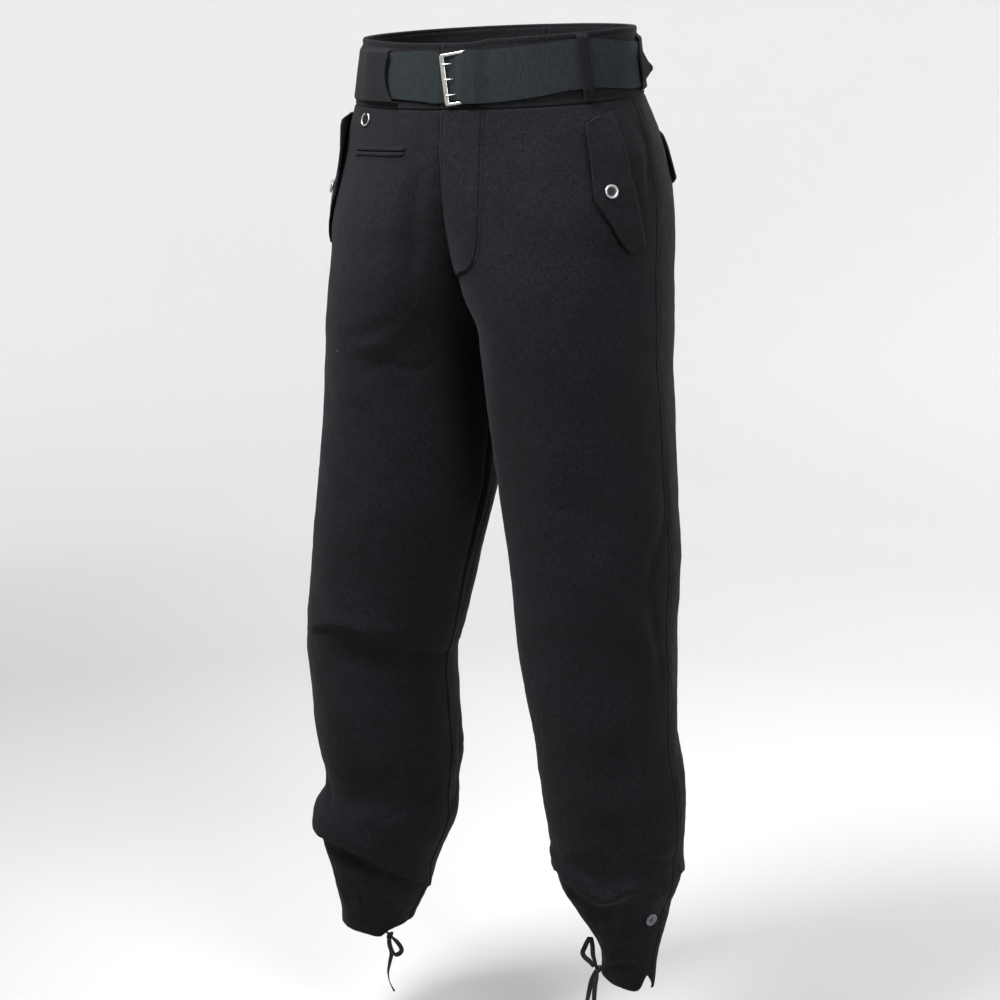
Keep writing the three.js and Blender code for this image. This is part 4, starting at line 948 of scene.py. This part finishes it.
# Flap of the left back pocket, sewn along its top and cut to a point.
rearFlap = {"rows": [(-190, -80, 40), (-172, -78, 45), (-143, -76, 54), (-124, -75, 59), (-105, -76, 54),
                     (-76, -78, 45), (-58, -80, 40)], "wall": 2.2}
rearTable = np.array(rearFlap["rows"])


def rearPlace(arc, share):
    top, depth = (np.interp(arc, rearTable[:, 0], rearTable[:, k]) for k in (1, 2))
    at, out = onCloth("left", top - share * depth, arc, 1)
    lift = 1.0 + 3.2 * share ** 1.3 + 0.5 * np.sin(math.pi * share) - 0.8 * ease(1 - share / 0.06)
    return at + out * lift[:, None], out, (arc, top - share * depth)


rearPiece = makeSheet("rear_flap_left_cloth", np.linspace(-190, -58, 49),
                      np.concatenate([[0, 0.03, 0.06], np.linspace(0.12, 0.94, 18), [0.97, 1]]), rearPlace,
                      brushedWool, rearFlap["wall"], outward=True, rounded=0.7)
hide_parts("rear_flap_left")

# Watch pocket at the right front: two welts with the slit between them.
welt = {"from": 202, "to": 116, "zFrom": -82, "zTo": -84, "height": 6.5, "slit": 1.0, "wall": 1.3}
weltPieces = []
for name, step in (("upper", 1), ("lower", -1)):
    def weltPlace(share, away):
        arc = welt["from"] + share * (welt["to"] - welt["from"])
        z = welt["zFrom"] + share * (welt["zTo"] - welt["zFrom"]) + step * (welt["slit"] / 2 + away)
        at, out = onCloth("right", z, arc, -1)
        ends = ease(share / 0.02) * ease((1 - share) / 0.02)
        roll = ease(away / 1.4) ** 0.5
        lift = (0.5 + 1.5 * roll) * (1 - ease((away - 3.6) / 2.6)) * ends - 0.5 * ease((away - 4.4) / 1.6)
        lift = lift - 1.0 * (1 - ends) + 0.3 * np.sin(share * 9 + step)
        return at + out * lift[:, None], out, (arc, z)

    made = makeSheet("watch_welt_" + name + "_cloth", np.concatenate([[0, 0.01, 0.02], np.linspace(0.04, 0.96, 40),
                                                                      [0.98, 0.99, 1]]),
                     [0, 0.3, 0.7, 1.2, 1.8, 2.6, 3.4, 4.2, 4.9, 5.6, 6.5], weltPlace, brushedWool,
                     welt["wall"])
    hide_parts("watch_welt_" + name)
    weltPieces.append(made)
print("pockets made")


# Hard pieces are made flat in millimetres and set on the cloth by a matrix.
def setPiece(bm, seat, name, material, node, smooth=True, closed=True):
    if closed:
        closeShape(bm)
    bmesh.ops.transform(bm, matrix=Matrix.Scale(mm, 4) @ seat, verts=bm.verts)
    piece = addPiece(name, meshOf(bm, name), material, smooth)
    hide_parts(node)
    return piece


# Watch ring: an open wire ring, spun from a round of wire.
ring = {"radius": 6.1, "wire": 1.7, "open": 0.42, "arc": 119.5, "z": -48, "turn": 0.12, "lift": 1.5, "stretch": 1.08}
bm = bmesh.new()
bmesh.ops.create_circle(bm, segments=14, radius=ring["wire"] / 2, cap_ends=True,
                        matrix=Matrix.Translation((ring["radius"], 0, 0)) @ Matrix.Rotation(math.pi / 2, 4, "X"))
bmesh.ops.rotate(bm, verts=bm.verts, cent=(0, 0, 0), matrix=Matrix.Rotation(math.pi / 2 + ring["open"], 3, "Z"))
bmesh.ops.spin(bm, geom=bm.verts[:] + bm.edges[:] + bm.faces[:], cent=(0, 0, 0), axis=(0, 0, 1),
               angle=2 * math.pi - 2 * ring["open"], steps=48, use_duplicate=False)
bmesh.ops.scale(bm, vec=(1, ring["stretch"], 1), verts=bm.verts)
ringSeat = seatOn("right", ring["z"], ring["arc"], ring["wire"] / 2 + ring["lift"]) @ Matrix.Rotation(ring["turn"], 4, "Y")
setPiece(bm, ringSeat, "watch_ring_wire", nickelSteel, "watch_ring")

# Buttons: a dished disc spun from its profile, with four holes and the thread that holds it.
buttonKinds = {
    "pocket": {"z": -131.5, "arc": 74, "radius": 7.6, "hole": 0.75, "apart": 1.5,
               "profile": [(0.01, 0), (0.8, 0), (0.97, 0.5), (1.0, 1.1), (0.99, 1.8), (0.93, 2.3), (0.84, 2.5),
                           (0.75, 2.3), (0.68, 1.8), (0.62, 1.45), (0.4, 1.35), (0.01, 1.35)]},
    "ankle": {"z": -950, "arc": 27, "radius": 7.4, "hole": 0.8, "apart": 1.55,
              "profile": [(0.01, 0), (0.78, 0), (0.96, 0.5), (1.0, 1.1), (0.98, 1.8), (0.9, 2.25), (0.78, 2.3),
                          (0.66, 2.05), (0.56, 1.6), (0.48, 1.4), (0.25, 1.32), (0.01, 1.3)]},
}
buttonGap = 0.6
flapRoot = {"arc": 42.5, "width": 49.5, "left": 5.5, "right": 2.3}


def makeButton(kind, side, material):
    look = buttonKinds[kind]
    lift = buttonGap
    if kind == "pocket":
        share = (look["arc"] - flapRoot["arc"]) / flapRoot["width"]
        lift += flap["rest"] + flapRoot[side] * share ** flap["bend"] + flap["wall"] + 0.5
    seat = seatOn(side, look["z"], look["arc"], lift)
    bm = bmesh.new()
    verts = [bm.verts.new((r * look["radius"], 0, h)) for r, h in look["profile"]]
    edges = [bm.edges.new(pair) for pair in zip(verts, verts[1:])]
    bmesh.ops.spin(bm, geom=verts + edges, cent=(0, 0, 0), axis=(0, 0, 1), angle=2 * math.pi, steps=48,
                   use_merge=True, use_duplicate=False)
    bmesh.ops.remove_doubles(bm, verts=bm.verts, dist=0.005)
    bmesh.ops.holes_fill(bm, edges=bm.edges)
    closeShape(bm)
    disc = meshOf(bm, "disc")
    cutter = bmesh.new()
    for turn in range(4):
        spot = Matrix.Rotation(turn * math.pi / 2 + 0.5, 4, "Z") @ Matrix.Translation((look["apart"] * 1.1, 0, 0.7))
        bmesh.ops.create_cone(cutter, cap_ends=True, segments=12, radius1=look["hole"], radius2=look["hole"],
                              depth=6, matrix=spot)
    body, holes = (bpy.data.objects.new(n, m) for n, m in (("body", disc), ("holes", meshOf(cutter, "holes"))))
    for part in (body, holes):
        scene.collection.objects.link(part)
    cut = body.modifiers.new("holes", "BOOLEAN")
    cut.operation, cut.object, cut.solver = "DIFFERENCE", holes, "EXACT"
    bpy.context.view_layer.update()
    made = bpy.data.meshes.new_from_object(body.evaluated_get(bpy.context.evaluated_depsgraph_get()))
    for part in (body, holes):
        bpy.data.objects.remove(part)
    bm = bmesh.new()
    bm.from_mesh(made)
    piece = setPiece(bm, seat, kind + "_button_" + side + "_disc", material, kind + "_button_" + side)
    piece.data.set_sharp_from_angle(angle=math.radians(40))
    if kind == "pocket":
        # the faces of the dish take the darker metal: painted shade in the hollow, partly tarnish
        piece.data.materials.append(dishShadeMetal)
        dish = seat.to_translation() * mm
        for face in piece.data.polygons:
            face.material_index = int((face.center - dish).length < 0.66 * look["radius"] * mm)
    threads = bmesh.new()
    for turn in range(2):
        spots = [Matrix.Rotation((turn * 2 + k) * math.pi / 2 + 0.5, 3, "Z") @ Vector((look["apart"] * 1.1, 0, 0))
                 for k in (0, 1)]
        ends = [np.array(spot) for spot in spots]
        line = [ends[0] + (0, 0, 0.2), ends[0] + (0, 0, 1.7), (ends[0] + ends[1]) / 2 + (0, 0, 1.95),
                ends[1] + (0, 0, 1.7), ends[1] + (0, 0, 0.2)]
        sweep(threads, smoothLine(line, 13), 0.7 , 0.7, sides=6)
    closeShape(threads)
    bmesh.ops.transform(threads, matrix=Matrix.Scale(mm, 4) @ seat @ Matrix.Scale(1 / mm, 4), verts=threads.verts)
    addPiece(kind + "_button_" + side + "_thread", meshOf(threads, "thread"), sewingThread)
    return piece


for side in ("left", "right"):
    makeButton("pocket", side, stampedMetal)
    makeButton("ankle", side, turnedHorn)

# Buckle: an oblong frame of rounded plate with a wide left bar and three prongs.
buckle = {"width": 32, "height": 54, "wideBar": 5, "bar": 3, "thick": 2.4, "corner": 3, "arc": 20, "z": -2.5,
          "lift": 3.3, "lean": 0.158, "tip": 0.075, "soft": 0.75}
buckleArc = float(totalArc("left", -1, buckle["z"])) - buckle["arc"]
buckleSeat = (seatOn("left", buckle["z"], buckleArc, buckle["lift"], onWaistband=True)
              @ Matrix.Rotation(buckle["lean"], 4, "Z") @ Matrix.Rotation(buckle["tip"], 4, "Y"))
bm = bmesh.new()
bmesh.ops.create_grid(bm, x_segments=1, y_segments=1, size=0.5)
bmesh.ops.scale(bm, vec=(buckle["width"], buckle["height"], 1), verts=bm.verts)
bmesh.ops.inset_region(bm, faces=bm.faces[:], thickness=buckle["bar"], use_boundary=True, use_even_offset=True)
inner = min(bm.faces, key=lambda face: face.calc_area() if abs(face.calc_center_median().x) < 1 and
            abs(face.calc_center_median().y) < 1 else 1e9)
for vert in inner.verts:
    if vert.co.x < 0:
        vert.co.x += buckle["wideBar"] - buckle["bar"]
bmesh.ops.delete(bm, geom=[inner], context="FACES_ONLY")
grown = bmesh.ops.extrude_face_region(bm, geom=bm.faces[:])["geom"]
bmesh.ops.translate(bm, vec=(0, 0, buckle["thick"]), verts=[g for g in grown if isinstance(g, bmesh.types.BMVert)])
bmesh.ops.translate(bm, vec=(0, 0, -buckle["thick"] / 2), verts=bm.verts)
bmesh.ops.recalc_face_normals(bm, faces=bm.faces)
upright = [e for e in bm.edges if abs(e.verts[0].co.z - e.verts[1].co.z) > 1]
outerCorners = [e for e in upright if abs(e.verts[0].co.x) > buckle["width"] / 2 - 0.1]
bmesh.ops.bevel(bm, geom=outerCorners, offset=buckle["corner"], segments=6, profile=0.5, affect="EDGES", material=-1)
upright = [e for e in bm.edges if abs(e.verts[0].co.z - e.verts[1].co.z) > 1
           and abs(e.verts[0].co.x) < buckle["width"] / 2 - 2.5 and abs(e.verts[0].co.y) < buckle["height"] / 2 - 2.5]
bmesh.ops.bevel(bm, geom=upright, offset=1.2, segments=4, profile=0.5, affect="EDGES", material=-1)
rims = [e for e in bm.edges if len(e.link_faces) == 2 and e.calc_face_angle(0) > 1.2]
bmesh.ops.bevel(bm, geom=rims, offset=buckle["soft"], segments=4, profile=0.5, affect="EDGES", material=-1)
setPiece(bm, buckleSeat, "buckle_frame_plate", nickelSteel, "buckle_frame")

# Prongs: short tapered wires that bend down and bite into the strap.
prong = {"length": 10, "radius": 0.8, "spacing": 16, "tip": 0.4}
for index in range(3):
    start = Vector((buckle["wideBar"] * 0.55 - buckle["width"] / 2, (1 - index) * prong["spacing"],
                    buckle["thick"] / 2 + 0.55))
    bm = bmesh.new()
    bmesh.ops.create_cone(bm, cap_ends=True, segments=14, radius1=prong["radius"], radius2=prong["tip"],
                          depth=prong["length"], matrix=Matrix.Rotation(math.pi / 2, 4, "Y"))
    for cut in np.linspace(-4.5, 4.5, 7):
        bmesh.ops.bisect_plane(bm, geom=bm.verts[:] + bm.edges[:] + bm.faces[:], plane_co=(cut, 0, 0), plane_no=(1, 0, 0))
    for vert in bm.verts:
        along = vert.co.x / prong["length"] + 0.5
        vert.co += start + Vector((prong["length"] / 2, 0, 0.3 * math.sin(math.pi * along) - 1.3 * along ** 2))
    setPiece(bm, buckleSeat, "buckle_prong_" + str(index + 1) + "_wire", nickelSteel,
             "buckle_prong_" + str(index + 1))
print("ring, buttons and buckle made")

# A small shape made many times over: it is copied by doubling, with each copy's number kept on its
# vertices, then each copy is set on its own frame, which holds three scaled axes and a middle.
def repeatShape(bm, frames, name):
    number = bm.verts.layers.int.new("copy")
    have = 1
    while have < len(frames):
        made = bmesh.ops.duplicate(bm, geom=bm.verts[:] + bm.edges[:] + bm.faces[:])["geom"]
        for vert in made:
            if isinstance(vert, bmesh.types.BMVert):
                vert[number] += have
        have *= 2
    bmesh.ops.delete(bm, geom=[v for v in bm.verts if v[number] >= len(frames)], context="VERTS")
    mesh = meshOf(bm, name)
    copies = np.empty(len(mesh.vertices), np.int32)
    mesh.attributes["copy"].data.foreach_get("value", copies)
    mesh.attributes.remove(mesh.attributes["copy"])
    movePoints(mesh, (np.einsum("vi,vij->vj", pointsOf(mesh), frames[copies, :3]) + frames[copies, 3]) * mm)
    return mesh


# Stitches: short rounded threads laid end to end, half sunk in the cloth.
stitch = {"pitch": 3.2, "share": 0.8, "radius": 0.32}


def stitchRun(frames, at, out, pitch=stitch["pitch"], lift=0.0):
    at = np.asarray(at) + np.asarray(out) * lift
    gone = np.concatenate([[0], np.cumsum(np.linalg.norm(np.diff(at, axis=0), axis=1))])
    middles = np.arange(pitch / 2, gone[-1], pitch)

    def read(table, places):
        return np.column_stack([np.interp(places, gone, table[:, k]) for k in range(3)])

    first, last = (read(at, middles + step * stitch["share"] * pitch / 2) for step in (-1, 1))
    along = (last - first) / 2
    across = np.cross(read(out, middles), along)
    across *= stitch["radius"] / np.linalg.norm(across, axis=1)[:, None]
    up = np.cross(along, across)
    up *= stitch["radius"] / np.linalg.norm(up, axis=1)[:, None]
    frames.append(np.stack([along, across, up, (first + last) / 2], axis=1))


def addStitches(name, frames):
    bm = bmesh.new()
    bmesh.ops.create_uvsphere(bm, u_segments=6, v_segments=4, radius=1, matrix=Matrix.Rotation(math.pi / 2, 4, "Y"))
    return addPiece(name, repeatShape(bm, np.concatenate(frames), name), sewingThread)


frames = []
for side in ("left", "right"):
    mirror = 1 if side == "left" else -1
    for level in (36 - band["topStitch"], -31):
        front = totalArc(side, -1, 0)
        arcs = np.linspace(1, front + totalArc(side, 1, 0) - 2, 240)
        rise = readRows(band["rise"], mirror * arcs)[:, 0] - 36
        z = level + rise * ease((level - 8) / 24)
        at, out = onForm(side, z, front - arcs)
        if level < 0:
            shown = np.full(len(arcs), True)
        else:
            shown = arcs < (tunnel["slitArc"] - 6 if side == "right" else tunnel["mouthArc"] + 4)
        at = at + out * bandShape(mirror * arcs, np.full(len(arcs), float(level)))[:, None]
        stitchRun(frames, at[shown], out[shown], lift=0.12)
share = np.linspace(0.002, 0.998, 420)
for z in (28.6, -29.2):
    at, out, _ = tunnelPlace(share, np.full(len(share), z))
    stitchRun(frames, at, out, lift=0.12)
for gone in (3.2, 7.4):
    z = np.linspace(-25, 25, 60)
    at, out, _ = tunnelPlace(np.full(len(z), gone / 640), z)
    stitchRun(frames, at, out, lift=0.1)
addStitches("waist_stitches", frames)

frames = []
zs = np.linspace(-36, -221, 120)
edge, width = readRows(fly["rows"], zs).T
at, out, _ = flyPlace((width - edge) / (width + fly["beyond"] - edge), zs)
stitchRun(frames, at, out, lift=0.1)
zs = np.linspace(-36, -205, 60)
edge, width = readRows(fly["rows"], zs).T
at, out, _ = flyPlace((5.5 - edge) / (width + fly["beyond"] - edge), zs)
stitchRun(frames, at, out, lift=0.05)
addStitches("fly_stitches", frames)

frames = []
for side in ("left", "right"):
    zs = np.linspace(-38, -1026, 620)
    for reach, lift in ((7.9, 0.05), (5.9, 0.1)):
        at, out = onCloth(side, zs, np.full(len(zs), reach), -1)
        shape = seamShape(-1, zs, np.full(len(zs), reach), totalArc(side, -1, zs))
        stitchRun(frames, at + out * shape[:, None], out, pitch=4.2, lift=lift)
addStitches("side_seam_stitches", frames)

frames = []
for z, lift in ((-25.0, 0.1), (33.6, 0.1)):
    share = np.linspace(-0.85, 0.85, 12)
    at, out, _ = loopPlace(share, np.full(len(share), z))
    stitchRun(frames, at, out, pitch=2.0, lift=loop["wall"])
zs = np.linspace(30, -30, 60)
for share in (-0.72, 0.72):
    at, out, _ = loopPlace(np.full(len(zs), share), zs)
    stitchRun(frames, at, out, lift=loop["wall"] - 0.05)
share = np.linspace(0.03, 0.97, 24)
at, out, _ = tabPlace(share, np.full(len(share), 2.6))
stitchRun(frames, at, out, pitch=2.6, lift=tab["wall"])
for step, away in ((1, 7.2), (-1, 7.2), (-1, 9.2)):
    arcs = np.linspace(welt["from"], welt["to"], 50)
    zs = np.linspace(welt["zFrom"], welt["zTo"], 50) + step * away
    at, out = onCloth("right", zs, arcs, -1)
    stitchRun(frames, at, out, lift=0.1)
addStitches("detail_stitches", frames)
print("stitches made")

# Loose fibres: short hairs at the raw hems and a light fuzz along them.
hair = {"count": 90, "length": (1.0, 4.2), "radius": 0.07}
draw = np.random.default_rng(7)
frames = []
for side in ("left", "right"):
    for _ in range(hair["count"]):
        facing = -1 if draw.random() < 0.6 else 1
        arc = -facing * draw.random() * float(totalArc(side, facing, -1034))
        at, out = onForm(side, np.array([-1033.0]), np.array([arc]), facing)
        drop = readRows(hemRows[side], np.array([arc]))[0, 0]
        start = at[0] - out[0] * 0.8 - (0, 0, drop + draw.random() * 0.6)
        lean = Vector(draw.normal(0, 0.55, 3) + (0, 0, -1) + out[0] * 0.25)
        length = draw.uniform(*hair["length"]) * (0.4 + 0.6 * draw.random())
        axes = np.array(lean.to_track_quat("Z", "X").to_matrix()).T
        frames.append(np.vstack([axes * [[hair["radius"]], [hair["radius"]], [length]], start]))
bm = bmesh.new()
bmesh.ops.create_cone(bm, cap_ends=True, segments=4, radius1=1, radius2=0.4, depth=1,
                      matrix=Matrix.Translation((0, 0, 0.5)))
addPiece("hem_fibres", repeatShape(bm, np.array(frames), "hem_fibres"), sewingThread)
print("fibres made")

# Floor and backdrop: one pale bowl with a flat middle, so that every side is seen against it.
stageLook = {"floor": -1180, "profile": [(0.01, 0), (1600, 0), (2600, 0), (3400, 60), (4000, 320), (4400, 900),
                                         (4600, 1700), (4700, 2600), (4700, 4200)],
             "shadeTones": [(0.0, "#b4b4b4"), (0.1, "#b6b6b6"), (0.3, "#c4c4c4"), (0.6, "#e8e8e8"), (1.0, "#fefefe")]}
bm = bmesh.new()
line = smoothLine(stageLook["profile"], 60)
verts = [bm.verts.new((r * mm, 0, (h + stageLook["floor"]) * mm)) for r, h in line]
edges = [bm.edges.new(pair) for pair in zip(verts, verts[1:])]
bmesh.ops.spin(bm, geom=verts + edges, cent=(0, 0, 0), axis=(0, 0, 1), angle=2 * math.pi, steps=96, use_merge=True,
               use_duplicate=False)
closeShape(bm)
bowlMesh = meshOf(bm, "bowl")
bowlMesh.polygons.foreach_set("use_smooth", [True] * len(bowlMesh.polygons))
bowl = bpy.data.objects.new("studio_bowl", bowlMesh)
scene.collection.objects.link(bowl)
# Matt floor and wall with painted shade: greyer under the trousers as a painted shadow, paler where it curves up.
paper, tree = newMaterial("studioFloorPaintedShade")
solid = addNode(tree, "ShaderNodeTexCoord").outputs["Object"]
away = addNode(tree, "ShaderNodeVectorMath", {0: solid}, operation="LENGTH").outputs["Value"]
spread = addNode(tree, "ShaderNodeMapRange", {"Value": away, "From Min": 1.2, "From Max": 4.8}).outputs[0]
# tone by distance from the middle: painted shadow under the trousers, paler out towards the wall
tone = addNode(tree, "ShaderNodeValToRGB", {"Fac": spread}, stops=stageLook["shadeTones"]).outputs["Color"]
grain = addNode(tree, "ShaderNodeTexNoise", {"Vector": solid, "Scale": 30.0, "Detail": 3.0}).outputs["Fac"]
normal = addNode(tree, "ShaderNodeBump", {"Height": grain, "Strength": 0.02, "Distance": 0.001})
shader = addNode(tree, "ShaderNodeBsdfPrincipled",
                 {"Base Color": tone, "Normal": normal.outputs[0], "Roughness": 0.85, "Specular IOR Level": 0.2})
addNode(tree, "ShaderNodeOutputMaterial", {"Surface": shader.outputs[0]})
bowlMesh.materials.append(paper)


# Soft studio lights: a big key from the front left, a weaker fill, and one from above.
def addLight(name, place, target, size, power, spread=180):
    data = bpy.data.lights.new(name, "AREA")
    data.shape = "RECTANGLE"
    data.size, data.size_y = size
    data.energy = power
    data.spread = math.radians(spread)
    light = bpy.data.objects.new(name, data)
    light.location = place
    light.rotation_euler = (Vector(target) - Vector(place)).to_track_quat("-Z", "Y").to_euler()
    light.visible_camera = False
    scene.collection.objects.link(light)


addLight("key", (-0.5, -0.95, 1.3), (0, 0, 0), (0.7, 0.7), 26, spread=88)
addLight("fill", (1.6, -1.1, 0.8), (0.1, 0, -0.2), (0.8, 1.2), 40)
addLight("top", (0, 0.1, 1.5), (0, 0, 0), (1.4, 1.4), 16)
addLight("back", (0.2, 1.9, 1.0), (0, 0, -0.2), (1.2, 1.4), 26)
world = bpy.data.worlds.new("studio")
world.use_nodes = True
world.node_tree.nodes.clear()
sky = addNode(world.node_tree, "ShaderNodeBackground", {"Color": srgb("#ffffff"), "Strength": 0.76})
addNode(world.node_tree, "ShaderNodeOutputWorld", {"Surface": sky.outputs[0]})
scene.world = world
scene.view_settings.view_transform = "Standard"
scene.view_settings.look = "None"
print("stage and lights made")
